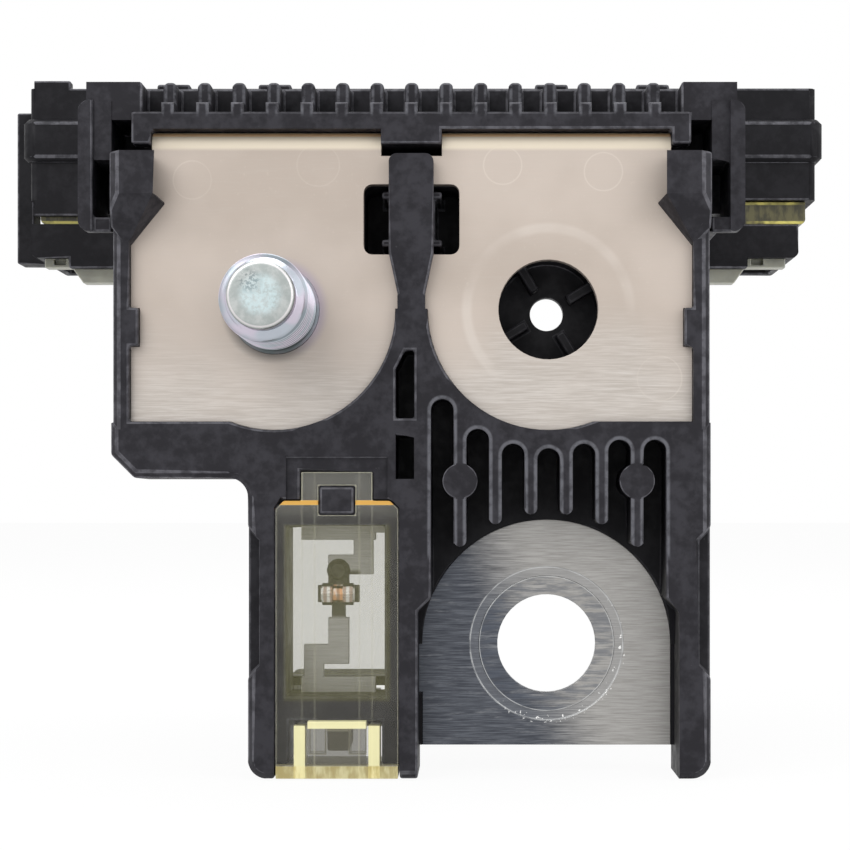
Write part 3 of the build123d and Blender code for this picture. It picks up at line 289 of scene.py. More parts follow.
class Paint:
    """A material in the making."""

    def __init__(self, name):
        self.material = bpy.data.materials.new(name)
        self.material.use_nodes = True
        self.tree = self.material.node_tree
        self.tree.nodes.clear()
        self.place = self.node("ShaderNodeTexCoord", output="Object")
        inputs = {"Vector": self.place}
        self.x = self.node("ShaderNodeSeparateXYZ", inputs=inputs, output="X")
        self.y = self.node("ShaderNodeSeparateXYZ", inputs=inputs, output="Y")
        self.z = self.node("ShaderNodeSeparateXYZ", inputs=inputs, output="Z")

    def node(self, kind, settings=None, inputs=None, output=0):
        """Any node: its settings first, then the values or links of its sockets."""
        made = self.tree.nodes.new(kind)
        for key, value in (settings or {}).items():
            setattr(made, key, value)
        for key, value in (inputs or {}).items():
            if isinstance(value, Number):
                self.tree.links.new(value.socket, made.inputs[key])
            else:
                made.inputs[key].default_value = value
        return Number(self.tree, made.outputs[output])

    def noise(self, size, detail, rough, stretch=(1, 1, 1), seed=0.0):
        """Noise with features of about one size, in metres, drawn out along the axes by stretch."""
        scaled = self.node("ShaderNodeMapping", inputs={
            "Vector": self.place,
            "Location": (seed, seed, seed),
            "Scale": tuple(1.0 / (size * part) for part in stretch),
        })
        return self.node("ShaderNodeTexNoise", inputs={
            "Vector": scaled, "Scale": 1.0, "Detail": detail, "Roughness": rough,
        })

    def attribute(self, name):
        """A number that the mesh carries on its faces."""
        return self.node("ShaderNodeAttribute", {"attribute_name": name}, output="Fac")

    def far(self, x, z):
        """Distance in the front view from a point."""
        dx = self.x - x
        dz = self.z - z
        return (dx * dx + dz * dz).math("SQRT")

    def mix(self, factor, one, two):
        """Colour one where factor is 0, two where it is 1."""
        inputs = {"Factor": factor, MIX_ONE: colour(one), MIX_TWO: colour(two)}
        return self.node("ShaderNodeMix", {"data_type": "RGBA"}, inputs, MIX_RESULT)

    def bump(self, height, distance, strength):
        inputs = {"Height": height, "Distance": distance, "Strength": strength}
        return self.node("ShaderNodeBump", inputs=inputs)

    def finish(self, **values):
        """The surface: one Principled shader, its sockets named with underscores for spaces."""
        inputs = {key.replace("_", " "): value for key, value in values.items()}
        shader = self.node("ShaderNodeBsdfPrincipled", inputs=inputs)
        out = self.tree.nodes.new("ShaderNodeOutputMaterial")
        self.tree.links.new(shader.socket, out.inputs["Surface"])
        return self.material


def colour(value):
    return value if isinstance(value, Number) else (*value, 1.0)


# Finishes
def from_nearest(place, pitch):
    """Distance from the nearest of a row of places that stand a pitch apart."""
    return ((place / pitch + 0.5).math("FRACT") - 0.5) * pitch


def slot_edge_highlights(paint):
    """Painted highlights on the edges of the seven round-topped slots, drawn where the slots are."""
    across = from_nearest(paint.x, SLOT_PITCH)
    slot_x = paint.x - across
    under_lobe = PLATE_HOLE_Z - (SLOT_LOBE_R ** 2 - slot_x * slot_x).math("SQRT")
    # The slots on the left may run higher up than those on the right
    highest = paint.x.step(0.0, -1 * MM) * (5 * MM) + SLOT_TOP_Z
    above = (paint.z - under_lobe.math("MINIMUM", highest) + SLOT_W / 2).math("MAXIMUM", 0.0)
    away = (across * across + above * above).math("SQRT")
    edges = away.band(SLOT_W / 2 + 0.16 * MM, 0.06 * MM, 0.2 * MM)
    edges = edges * paint.x.band(0.0, SLOT_PITCH * SLOT_COUNT / 2, 0.1 * MM)
    edges = edges * paint.z.step(SLOT_LOW_Z - 0.5 * MM, SLOT_LOW_Z + 0.5 * MM)
    edges = edges * paint.y.step(BODY_FRONT + 0.8 * MM, BODY_FRONT + 0.4 * MM)
    for x in (-PAD_X, PAD_X):
        edges = edges * paint.far(x, PAD_Z).step(PAD_R - 0.1 * MM, PAD_R)
    return edges


def comb_glints(paint):
    """Painted highlights down both sides of each rib of the comb."""
    tooth = from_nearest(paint.x - MIDDLE_X, COMB_PITCH).math("ABSOLUTE")
    glints = tooth.band(0.42 * MM, 0.05 * MM, 0.16 * MM)
    glints = glints * paint.z.step(COMB_Z + 0.4 * MM, COMB_Z + 1.2 * MM)
    glints = glints * paint.x.band(MIDDLE_X, GLINT_REACH, 0.1 * MM)
    return glints * paint.y.step(COMB_BACK + 0.3 * MM, COMB_BACK - 0.1 * MM)


# Colours of the black moulding
MOULDING_DARK = (0.0160, 0.0152, 0.0188)
MOULDING_PALE = (0.0310, 0.0300, 0.0360)
DUST = (0.075, 0.075, 0.085)
PAINTED_SHADE = (0.0022, 0.0021, 0.0032)
RIM_HIGHLIGHT = (0.108, 0.107, 0.121)
LINE_HIGHLIGHT = (0.105, 0.106, 0.120)


def black_plastic():
    """Glass-filled black moulding: satin and mottled, with a little dust, painted highlights on its rims and
    edges, and painted shade behind its face and in its recesses.
    """
    paint = Paint("black_plastic")
    flow = paint.noise(3.5 * MM, 4.0, 0.62)
    mottle = paint.noise(0.9 * MM, 3.0, 0.6, seed=7.0)
    grain = paint.noise(0.22 * MM, 2.0, 0.6, seed=3.0)
    dust = paint.noise(0.5 * MM, 3.0, 0.6, seed=9.0).step(0.70, 0.76)
    cloudy = (flow * 0.6 + mottle * 0.4).step(0.42, 0.62)
    base = paint.mix(cloudy, MOULDING_DARK, MOULDING_PALE)
    base = paint.mix(dust * 0.5, base, DUST)

    # Painted shade darkens the parts behind the face, less on the arms, and the comb's back wall
    upper = paint.z.step(BODY_TOP_Z - 1 * MM, BODY_TOP_Z)
    arms = (paint.x - MIDDLE_X).math("ABSOLUTE").band(ARM_X, 2.2 * MM, 0.3 * MM) * upper
    behind_shade = paint.y.step(-3.5 * MM, 3 * MM) * (0.72 - arms * 0.45)
    wall_shade = paint.y.band(COMB_BACK, 0.15 * MM, 0.1 * MM) * paint.z.step(COMB_Z, COMB_Z + 0.4 * MM) * 0.55
    base = paint.mix(behind_shade.math("MAXIMUM", wall_shade), base, PAINTED_SHADE)

    # Painted highlights on the rims, the comb's ribs and the slots' edges, broken up in patches and fainter
    # on the feet of the comb
    feet = paint.z.band(COMB_Z + 0.8 * MM, 0.8 * MM, 0.2 * MM) * paint.x.band(MIDDLE_X, COMB_REACH, 0.5 * MM)
    rim = paint.attribute("rim") * (0.35 + mottle.step(0.35, 0.65) * 0.65) * (1 - feet * 0.5)
    base = paint.mix(rim * 0.9, base, RIM_HIGHLIGHT)
    wear_and_highlight = mottle.step(0.3, 0.6)
    base = paint.mix(comb_glints(paint) * wear_and_highlight * 0.8, base, LINE_HIGHLIGHT)
    base = paint.mix(slot_edge_highlights(paint) * (0.4 + wear_and_highlight * 0.6), base, LINE_HIGHLIGHT)

    # Painted shade on the floors of the slots and pockets of the upright part
    recess_shade = paint.y.step(BODY_FRONT + 0.8 * MM, BODY_FRONT + 1.8 * MM) * paint.y.step(3 * MM, -1 * MM)
    recess_shade = recess_shade * paint.z.step(BODY_TOP_Z + 0.5 * MM, BODY_TOP_Z - 0.5 * MM) * 0.85
    base = paint.mix(recess_shade, base, PAINTED_SHADE)
    return paint.finish(
        Base_Color=base,
        Roughness=0.56 - cloudy * 0.16 + grain * 0.08,
        Normal=paint.bump(grain * 0.6 + mottle * 0.4, 0.018 * MM, 0.5),
        Specular_IOR_Level=0.16,
    )


# Colours of the battery tab
TAB_DARK = (0.30, 0.29, 0.275)
TAB_PALE = (0.44, 0.43, 0.415)
REFLECTION_DARK = (0.040, 0.046, 0.062)
REFLECTION_PALE = (0.135, 0.148, 0.175)
REFLECTION_STREAK = (0.24, 0.25, 0.27)
RING_SHADE = (0.10, 0.115, 0.145)
RING_GREY = (0.27, 0.28, 0.30)
RING_HIGHLIGHT = (0.66, 0.67, 0.67)
NICK = (0.92, 0.92, 0.90)


def brushed_tab(paint, brushed, fine):
    """The battery tab: bright brushed tin with a painted dark blue reflection on its left and two stamped
    rings.
    """
    # Painted dark blue reflection on the tab's left, with streaks
    slope = paint.x + paint.z * 0.45 + (brushed - 0.5) * (7 * MM) + (fine - 0.5) * (3 * MM)
    painted_reflection = 1 - slope.step(-5.5 * MM, 2.5 * MM)
    base = paint.mix(brushed.step(0.3, 0.7), TAB_DARK, TAB_PALE)
    streaks = paint.noise(0.5 * MM, 4.0, 0.7, stretch=(8, 8, 1), seed=21.0)
    reflected = paint.mix(brushed.step(0.35, 0.75), REFLECTION_DARK, REFLECTION_PALE)
    reflected = paint.mix(streaks.step(0.54, 0.72) * 0.6, reflected, REFLECTION_STREAK)
    base = paint.mix(painted_reflection * 0.92, base, reflected)
    far = paint.far(0.0, 0.0)
    # Painted bluish shade in streaks inside the inner ring
    inside = 1 - far.step(RING_IN - 0.1 * MM, RING_IN)
    base = paint.mix(inside * streaks.step(0.60, 0.40) * 0.55, base, RING_SHADE)
    ring = far.band((RING_IN + RING_OUT) / 2, (RING_OUT - RING_IN) / 2, 0.08 * MM)
    base = paint.mix(ring * 0.25, base, RING_GREY)
    # Painted highlights along the ridges of the two stamped rings, in patches
    lines = far.band(RING_IN, 0.03 * MM, 0.06 * MM) + far.band(RING_OUT, 0.03 * MM, 0.08 * MM)
    patches = paint.noise(1.6 * MM, 2.0, 0.5, seed=8.0).step(0.35, 0.6)
    base = paint.mix(lines * (0.3 + patches * 0.7) * 0.6, base, RING_HIGHLIGHT)
    nicks = paint.noise(0.35 * MM, 2.0, 0.5, seed=12.0).step(0.63, 0.68)
    nicks = nicks * far.band(RING_OUT - 0.1 * MM, 0.35 * MM, 0.1 * MM) * (paint.x - paint.z).step(0.0, 5 * MM)
    base = paint.mix(nicks, base, NICK)
    return base, lines + nicks


# Colours of the plates, the bend and the front link
WARM_TIN_DARK = (0.490, 0.428, 0.378)
WARM_TIN_PALE = (0.565, 0.500, 0.448)
WARM_SPECK = (0.62, 0.56, 0.51)
SILVER_DARK = (0.46, 0.425, 0.390)
SILVER_PALE = (0.61, 0.575, 0.54)
WORN_TIN = (0.70, 0.655, 0.61)
PIN_RING = (0.70, 0.64, 0.58)
STUD_SHADOW_DARK = (0.10, 0.095, 0.095)
STUD_SHADOW_LILAC = (0.44, 0.38, 0.48)
BEND_HIGHLIGHT = (0.68, 0.605, 0.49)
BARE_COPPER = (0.85, 0.52, 0.25)
LINK_DARK = (0.40, 0.40, 0.40)
LINK_PALE = (0.52, 0.52, 0.53)
BURNT_LINK = (0.035, 0.032, 0.026)


def stud_right(paint):
    """1 at the upper right of the stud, 0 at its lower left."""
    return (paint.x - STUD_X + (paint.z - STUD_Z) * 0.5).step(-1 * MM, 3.5 * MM)


def tinned_sheet():
    """Tin over copper alloy, matt on the plates and brushed towards their feet, with a painted reflection
    that is warm on the plates and silver towards their feet.
    """
    paint = Paint("tinned_sheet")
    brushed = paint.noise(0.11 * MM, 4.0, 0.65, stretch=(28, 28, 1))
    fine = paint.noise(0.07 * MM, 2.0, 0.5, stretch=(90, 90, 1), seed=5.0)
    cloud = paint.noise(11 * MM, 3.0, 0.5, seed=2.0)
    speck = paint.noise(0.4 * MM, 3.0, 0.6, seed=6.0)
    # Painted reflection: warm on the plates, silver towards their feet
    foot = (paint.z + (cloud - 0.5) * (14 * MM)).step(PLATE_FOOT_HIGH, PLATE_FOOT_LOW)
    warm = paint.mix(cloud.step(0.3, 0.7), WARM_TIN_DARK, WARM_TIN_PALE)
    warm = paint.mix(speck.step(0.62, 0.75) * 0.2, warm, WARM_SPECK)
    silver = paint.mix(brushed.step(0.32, 0.68), SILVER_DARK, SILVER_PALE)
    base = paint.mix(foot * 0.75 + brushed.step(0.45, 0.8) * 0.2, warm, silver)
    tab_base, tab_marks = brushed_tab(paint, brushed, fine)
    tab = paint.x.step(TAB_LEFT_X - 0.1 * MM, TAB_LEFT_X + 0.1 * MM)
    tab = tab * paint.z.step(LINK_TOP_Z + 1 * MM, LINK_TOP_Z - 0.5 * MM)
    base = paint.mix(tab, base, tab_base)

    # Marks on the plates: a worn ring and the rings of the stamping pins, and round the stud a painted
    # contact shadow, dark at its lower left and lilac at its upper right
    front = paint.y.step(UPRIGHT_BACK + 1 * MM, UPRIGHT_BACK)
    wear_and_highlight = paint.far(0.0, PLATE_HOLE_Z).band(WORN_R, 0.2 * MM, 0.5 * MM)
    base = paint.mix(wear_and_highlight * cloud.step(0.35, 0.6) * 0.35 * front, base, WORN_TIN)
    pins = 0.0
    for x, z, radius in PIN_MARKS:
        pins = paint.far(x * MM, z * MM).band(radius * MM, 0.03 * MM, 0.07 * MM) + pins
    pins = pins * front
    base = paint.mix(pins * (0.12 + cloud.step(0.4, 0.6) * 0.2), base, PIN_RING)
    stud_shadow = (1 - paint.far(STUD_X, STUD_Z).step(COLLAR_R, COLLAR_R + 1.1 * MM)) * front
    stud_shadow_tint = paint.mix(stud_right(paint), STUD_SHADOW_DARK, STUD_SHADOW_LILAC)
    base = paint.mix(stud_shadow * 0.6, base, stud_shadow_tint)

    # A painted warm highlight on the bend, with bare copper along its end
    bend_highlight = paint.z.step(BEND_Z - 0.2 * MM, BEND_Z + 0.25 * MM) * paint.y.step(-3 * MM, -4 * MM)
    base = paint.mix(bend_highlight, base, BEND_HIGHLIGHT)
    line = paint.z.band(BEND_LINE_Z, 0.12 * MM, 0.12 * MM) * front
    base = paint.mix(line * 0.8, base, BARE_COPPER)

    # The front link, burnt round its pellet, with bright tin in its ears
    link = paint.x.step(LINK_RIGHT_X + 0.5 * MM, LINK_RIGHT_X - 0.5 * MM)
    link = link * paint.z.step(LINK_TOP_Z + 0.5 * MM, LINK_TOP_Z - 0.5 * MM)
    strip = paint.mix(brushed.step(0.3, 0.7), LINK_DARK, LINK_PALE)
    base = paint.mix(link * 0.85, base, strip)
    burnt = paint.z.band(COLLAR_Z, 2.0 * MM, 0.5 * MM) * paint.x.band(PELLET_X, 1.9 * MM, 0.4 * MM) * link
    base = paint.mix(burnt * 0.93, base, BURNT_LINK)
    ears = paint.z.band(COLLAR_Z, 0.75 * MM, 0.05 * MM) * paint.x.band(PELLET_X, 1.5 * MM, 0.05 * MM) * link
    base = paint.mix(ears, base, rolled_tin(paint))
    height = brushed * (0.15 + foot * 0.35) + fine * 0.2 + cloud * 0.4 + speck * 0.15 + pins * 0.5
    return paint.finish(
        Base_Color=base,
        Metallic=1.0 - bend_highlight * 0.75 - link * 0.35,
        Roughness=0.60 - foot * 0.12 - tab * 0.10 - ears * 0.25 + brushed * 0.10,
        Normal=paint.bump(height + tab_marks * tab * 0.6, 0.012 * MM, 0.6),
    )


# Colours of the stud
ZINC_BLUE = (0.50, 0.54, 0.60)
ZINC_LILAC = (0.62, 0.57, 0.66)
VALLEY_SHADE = (0.10, 0.13, 0.14)
STUD_FOOT_SHADOW = (0.13, 0.155, 0.15)
END_DARK = (0.38, 0.41, 0.40)
END_PALE = (0.49, 0.51, 0.50)
END_SPARKLE = (0.58, 0.70, 0.72)
END_SPECK = (0.12, 0.15, 0.16)
END_HIGHLIGHT = (0.90, 0.85, 0.86)


def zinc_steel():
    """Zinc plating, passivated to a faint blue, with a speckled dished end."""
    paint = Paint("zinc_steel")
    mottle = paint.noise(1.1 * MM, 4.0, 0.65)
    speck = paint.noise(0.3 * MM, 3.0, 0.7, seed=4.0)
    tint = paint.noise(2.5 * MM, 1.0, 0.5, seed=14.0)
    far = paint.far(STUD_X, STUD_Z)
    lilac = paint.mix(tint.step(0.42, 0.58), ZINC_BLUE, ZINC_LILAC)
    # Painted shade in the thread's valleys
    valley_shade = far.step(THREAD_R - 0.02 * MM, THREAD_R - 0.09 * MM)
    valley_shade = valley_shade * paint.y.step(THREAD_END + 0.5 * MM, THREAD_END + 1.2 * MM)
    side = paint.mix(valley_shade * 0.65, lilac, VALLEY_SHADE)
    # A painted contact shadow round the stud's foot, lighter on its upper right
    foot = paint.y.step(PLATE_FRONT - 4.0 * MM, PLATE_FRONT - 1.5 * MM)
    side = paint.mix(foot * (1 - stud_right(paint) * 0.75) * 0.8, side, STUD_FOOT_SHADOW)

    # The dished end: greenish grey, sparkling in the middle, with dark specks at its upper left
    end = paint.y.step(STUD_LOW.y + 0.35 * MM, STUD_LOW.y + 0.25 * MM)
    face = paint.mix(mottle.step(0.35, 0.65), END_DARK, END_PALE)
    middle = (1 - far.step(1.3 * MM, 2.2 * MM)) * (0.4 + speck.step(0.35, 0.6) * 0.6)
    face = paint.mix(middle * 0.8, face, END_SPARKLE)
    cluster = paint.far(SPECKS_X, SPECKS_Z).step(1.4 * MM, 0.5 * MM)
    face = paint.mix(speck.step(0.46, 0.56) * cluster * 0.6, face, END_SPECK)
    # A painted highlight round the end's rounded rim
    end_highlight = far.band(DOG_R - 0.22 * MM, 0.03 * MM, 0.10 * MM)
    face = paint.mix(end_highlight * 0.6, face, END_HIGHLIGHT)
    return paint.finish(
        Base_Color=paint.mix(end, side, face),
        Metallic=1.0,
        Roughness=0.26 + mottle * 0.15 + end * 0.16,
        Normal=paint.bump(mottle * 0.6 + speck * (0.4 + end), 0.03 * MM, 0.5),
    )


# Colours of the clear covers and trays
HAZE_DARK = (0.175, 0.170, 0.145)
HAZE_PALE = (0.230, 0.225, 0.195)
WINDOW_YELLOW = (0.30, 0.285, 0.125)
TONGUE_PALE = (0.48, 0.475, 0.42)
POCKET_DARK = (0.125, 0.118, 0.088)
OLIVE_DARK = (0.038, 0.035, 0.017)
OLIVE_PALE = (0.105, 0.095, 0.040)
TRAY_EDGE_HIGHLIGHT = (0.72, 0.64, 0.16)
EDGE_LIGHT = (0.58, 0.56, 0.42)
GOLD_DARK = (0.50, 0.40, 0.13)
GOLD_PALE = (0.80, 0.73, 0.38)
STRAW = (0.78, 0.74, 0.42)
AMBER = (0.60, 0.33, 0.06)


def clear_plastic():
    """Clear snap cover, hazy and faintly yellow, with deep yellow where it is seen edge on."""
    paint = Paint("clear_plastic")
    haze = paint.noise(3 * MM, 3.0, 0.6)
    smear = paint.noise(0.8 * MM, 3.0, 0.6, stretch=(1, 1, 3), seed=3.0)
    front = paint.y.step(COVER_BACK + 0.02 * MM, COVER_BACK - 0.02 * MM)
    side = paint.attribute("side")
    rim = paint.attribute("rim")
    window = paint.x.band(COVER_MID_X, WINDOW_HALF, 0.2 * MM) * paint.z.band(WINDOW_Z, WINDOW_H / 2, 0.2 * MM)
    base = paint.mix(haze.step(0.3, 0.7), HAZE_DARK, HAZE_PALE)
    base = paint.mix(window * 0.7, base, WINDOW_YELLOW)

    # The front cover's tongue, and the pocket between its legs
    tongue = paint.z.step(COVER_SHOULDER_Z - 2.2 * MM, COVER_SHOULDER_Z - 0.3 * MM) * front
    base = paint.mix(tongue * 0.7, base, TONGUE_PALE)
    between = paint.x.band(COVER_MID_X, HOOK_HALF, 0.1 * MM)
    low = paint.z.step(FOOT_TOP_Z + 0.1 * MM, FOOT_TOP_Z - 0.1 * MM)
    pocket = paint.z.step(HOOK_Z, HOOK_Z - 0.2 * MM) * between * (1 - low) * front
    base = paint.mix(pocket, base, POCKET_DARK)

    # The trays under the rear block: dark, with painted yellow highlights along their top and bottom edges
    tray = paint.z.step(TRAY_LOW.z - 0.1 * MM, TRAY_LOW.z) * paint.z.step(TRAY_HIGH.z + 0.1 * MM, TRAY_HIGH.z)
    tray = tray * paint.y.step(TRAY_LOW.y - 2 * MM, TRAY_LOW.y - 1 * MM)
    olive = paint.mix(smear.step(0.4, 0.65), OLIVE_DARK, OLIVE_PALE)
    base = paint.mix(tray, base, olive)
    tray_highlight = 0.0
    for z in (TRAY_LOW.z + TRAY_HIGHLIGHT_INSET, TRAY_HIGH.z - TRAY_HIGHLIGHT_INSET):
        tray_highlight = paint.z.band(z, 0.10 * MM, 0.12 * MM) + tray_highlight
    base = paint.mix(tray * tray_highlight * haze.step(0.35, 0.6), base, TRAY_EDGE_HIGHLIGHT)

    # Painted highlights on the edges and draw lines, and a painted deep yellow glow where the plastic is
    # looked at edge on
    lines = 0.0
    for offset in COVER_LINES:
        lines = paint.x.band(COVER_MID_X + offset, 0.05 * MM, 0.08 * MM) + lines
    lines = lines * front
    edges = (side * 0.5 + rim * 0.7 + lines * 0.3).math("MINIMUM", 1.0) * (1 - tray)
    base = paint.mix(edges * 0.8, base, EDGE_LIGHT)
    top = paint.z.band(COVER_SHOULDER_Z - 0.22 * MM, 0.2 * MM, 0.05 * MM)
    legs = 0.0
    for x in COVER_LEGS:
        legs = paint.x.band(x, 0.5 * MM, 0.06 * MM) + legs
    legs = legs * paint.z.step(LEG_TOP_Z + 0.1 * MM, LEG_TOP_Z)
    hook = paint.z.band(HOOK_Z, 0.3 * MM, 0.1 * MM) * between
    deep = (low * 0.8 + top + legs + hook).math("MINIMUM", 1.0) * front
    gold = paint.mix(smear.step(0.35, 0.65), GOLD_DARK, GOLD_PALE)
    glow = paint.mix(low, STRAW, gold)
    glow = paint.mix(top, glow, AMBER)
    base = paint.mix(deep, base, glow)

    alpha = 0.115 + haze * 0.03 + smear * 0.01 + window * (0.05 - front * 0.02) + tongue * 0.05
    alpha = alpha + lines * 0.06 + rim * 0.25 + side * 0.10 + tray * 0.78 + pocket * 0.45 + deep * 0.8
    return paint.finish(
        Base_Color=base,
        Roughness=0.26 + haze * 0.12,
        Alpha=alpha.math("MINIMUM", 0.96),
        IOR=1.5,
    )


# Colours of the lock inserts
NYLON_DARK = (0.27, 0.27, 0.225)
NYLON_PALE = (0.37, 0.37, 0.31)
NYLON_RIM_HIGHLIGHT = (0.55, 0.55, 0.48)


def natural_plastic():
    """Uncoloured nylon, milky and faintly green."""
    paint = Paint("natural_plastic")
    cloud = paint.noise(2.5 * MM, 3.0, 0.5)
    rim = paint.attribute("rim")
    base = paint.mix(cloud.step(0.3, 0.7), NYLON_DARK, NYLON_PALE)
    # Painted highlights on the rounded rims
    return paint.finish(
        Base_Color=paint.mix(rim * 0.5, base, NYLON_RIM_HIGHLIGHT),
        Roughness=0.38 + cloud * 0.1,
        Normal=paint.bump(cloud, 0.03 * MM, 0.4),
        Subsurface_Weight=0.15,
        Subsurface_Radius=(0.002, 0.0015, 0.0008),
    )


# Colours of the pellets
BRIGHT_TIN = (0.86, 0.84, 0.80)
COPPER_THROUGH = (0.80, 0.42, 0.22)
FOLD_SHADE = (0.33, 0.20, 0.14)
BURNT_DARK = (0.014, 0.012, 0.010)
BURNT_PALE = (0.050, 0.046, 0.040)


def rolled_tin(paint):
    """Bright tin squeezed in the link's ears, with copper showing through in the middle."""
    waves = paint.noise(0.5 * MM, 1.0, 0.5, stretch=(1, 1, 3), seed=15.0)
    stripes = ((paint.x - PELLET_X) * (2 * math.pi / STRIPE_PITCH) + waves * 2).math("SINE").step(-0.5, 0.5)
    copper = paint.x.band(PELLET_X, 0.45 * MM, 0.35 * MM) * waves.step(0.35, 0.55)
    bright = paint.mix(copper, BRIGHT_TIN, COPPER_THROUGH)
    return paint.mix(stripes * 0.75, bright, FOLD_SHADE)


def tin_metal():
    """Tin pellet: bright in its ears, dark and burnt where it ran out along the link."""
    paint = Paint("tin")
    cloud = paint.noise(0.5 * MM, 3.0, 0.6)
    burnt = paint.mix(cloud.step(0.35, 0.65), BURNT_DARK, BURNT_PALE)
    held = paint.z.step(COLLAR_Z + 1.0 * MM, COLLAR_Z + 0.8 * MM)
    return paint.finish(
        Base_Color=paint.mix(held, burnt, rolled_tin(paint)),
        Metallic=0.5 + held * 0.5,
        Roughness=0.45 - held * 0.15 + cloud * 0.15,
        Normal=paint.bump(cloud, 0.04 * MM, 0.5),
    )


FINISHES = {
    "black_plastic": black_plastic(),
    "tinned_sheet": tinned_sheet(),
    "zinc_steel": zinc_steel(),
    "clear_plastic": clear_plastic(),
    "natural_plastic": natural_plastic(),
    "tin": tin_metal(),
}


# Carried-over pieces take the finish of their slot
for part in frame["record"]["subparts"]:
    node = frame["nodes"][part["node"]]
    node.data.materials.clear()
    node.data.materials.append(FINISHES[part["material_slot"]])


# Making pieces
def add_piece(name, mesh, slot):
    mesh.materials.clear()
    mesh.materials.append(FINISHES[slot])
    piece = bpy.data.objects.new(name, mesh)
    bpy.context.scene.collection.objects.link(piece)
    return piece


def body_of(node):
    return frame["nodes"][node]["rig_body"]


def dress(piece, node):
    """The piece stands for a CAD node, on that node's body."""
    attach(piece, body_of(node))
    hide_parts(node)


def bake(piece):
    """Give the piece the mesh that its modifiers make."""
    bpy.context.view_layer.update()
    graph = bpy.context.evaluated_depsgraph_get()
    mesh = bpy.data.meshes.new_from_object(piece.evaluated_get(graph))
    piece.modifiers.clear()
    old = piece.data
    piece.data = mesh
    bpy.data.meshes.remove(old)


def smooth(mesh, degrees):
    for face in mesh.polygons:
        face.use_smooth = True
    mesh.set_sharp_from_angle(angle=math.radians(degrees))


def room_beside(face):
    """About half the width of a face, which is what a rounding may take of it."""
    return face.calc_area() / face.calc_perimeter()


def mark_sides(mesh):
    """Mark the faces that are seen edge on when one looks through the piece's thin way."""
    low = [min(vertex.co[axis] for vertex in mesh.vertices) for axis in range(3)]
    high = [max(vertex.co[axis] for vertex in mesh.vertices) for axis in range(3)]
    spans = [high[axis] - low[axis] for axis in range(3)]
    thin = spans.index(min(spans))
    side = mesh.attributes.new("side", "FLOAT", "FACE")
    for face in mesh.polygons:
        side.data[face.index].value = 1.0 - abs(face.normal[thin])


def bevelled(piece, work, radius):
    """A mesh of the piece with the edges that carry a weight rounded, and the rounding marked."""
    work.to_mesh(piece.data)
    smooth(piece.data, SHARP)
    bevel = piece.modifiers.new("edges", "BEVEL")
    bevel.width = radius
    bevel.segments = 2
    bevel.limit_method = "WEIGHT"
    bevel.use_clamp_overlap = False
    bevel.loop_slide = False
    bevel.harden_normals = True
    bevel.material = RIM_MARK
    bpy.context.view_layer.update()
    graph = bpy.context.evaluated_depsgraph_get()
    mesh = bpy.data.meshes.new_from_object(piece.evaluated_get(graph))
    piece.modifiers.clear()
    return mesh


def keep_flat(mesh):
    """Level and upright faces shade flat right up to their rounded rims."""
    normals = [corner.vector.copy() for corner in mesh.corner_normals]
    rim = mesh.attributes["rim"].data
    for face in mesh.polygons:
        if rim[face.index].value == 0 and max(abs(part) for part in face.normal) > ALONG_AXIS:
            for corner in face.loop_indices:
                normals[corner] = face.normal.copy()
    mesh.normals_split_custom_set(normals)


def strays(mesh, surface, radius):
    """Places where the rounding left the piece's surface or folded a face over."""
    places = [vertex.co for vertex in mesh.vertices if surface.find_nearest(vertex.co)[3] > radius]
    mesh.calc_loop_triangles()
    for triangle in mesh.loop_triangles:
        corners = [mesh.vertices[index].co for index in triangle.vertices]
        one, two, three = corners
        _, normal, _, away = surface.find_nearest((one + two + three) / 3)
        if away > radius:
            places += corners
        rim = mesh.polygons[triangle.polygon_index].material_index == RIM_MARK
        if rim or triangle.area < SLIVER_SHARE * radius ** 2:
            continue
        if (two - one).cross(three - one).normalized().dot(normal) < FOLDED:
            places += corners
    return places


def rounded(node, slot, radius):
    """A CAD node with its sharp edges rounded, as moulding and stamping leave them."""
    mesh = frame["nodes"][node].data.copy()
    work = bmesh.new()
    work.from_mesh(mesh)
    bmesh.ops.remove_doubles(work, verts=work.verts, dist=WELD)
    surface = BVHTree.FromBMesh(work)
    bmesh.ops.dissolve_limit(work, angle_limit=math.radians(FLAT), verts=work.verts, edges=work.edges)
    layer = work.edges.layers.float.new("bevel_weight_edge")
    for edge in work.edges:
        if len(edge.link_faces) != 2 or edge.calc_face_angle() < math.radians(SHARP):
            continue
        room = min(room_beside(face) for face in edge.link_faces)
        edge[layer] = min(1.0, ROUNDING_SHARE * room / radius)
    piece = add_piece(node + "_rounded", mesh, slot)
    mesh.materials.append(FINISHES[slot])

    # The edges round corners that can't be rounded cleanly stay sharp
    near = KDTree(len(work.verts))
    for vertex in work.verts:
        near.insert(vertex.co, vertex.index)
    near.balance()
    work.verts.ensure_lookup_table()
    result = bevelled(piece, work, radius)
    for _ in range(ROUNDING_TRIES):
        bad = strays(result, surface, radius)
        if not bad:
            break
        for corner in {near.find(place)[1] for place in bad}:
            for edge in work.verts[corner].link_edges:
                edge[layer] = 0.0
        bpy.data.meshes.remove(result)
        result = bevelled(piece, work, radius)
    work.free()
    piece.data = result
    bpy.data.meshes.remove(mesh)

    rim = result.attributes.new("rim", "FLOAT", "FACE")
    for face in result.polygons:
        rim.data[face.index].value = face.material_index
        face.material_index = 0
    result.materials.pop()
    if slot == "clear_plastic":
        # A clear piece shrinks a little, so that its faces don't lie in those of its seat
        for vertex, normal in [(vertex, vertex.normal.copy()) for vertex in result.vertices]:
            vertex.co -= normal * CLEAR_GAP
    keep_flat(result)
    mark_sides(result)
    dress(piece, node)


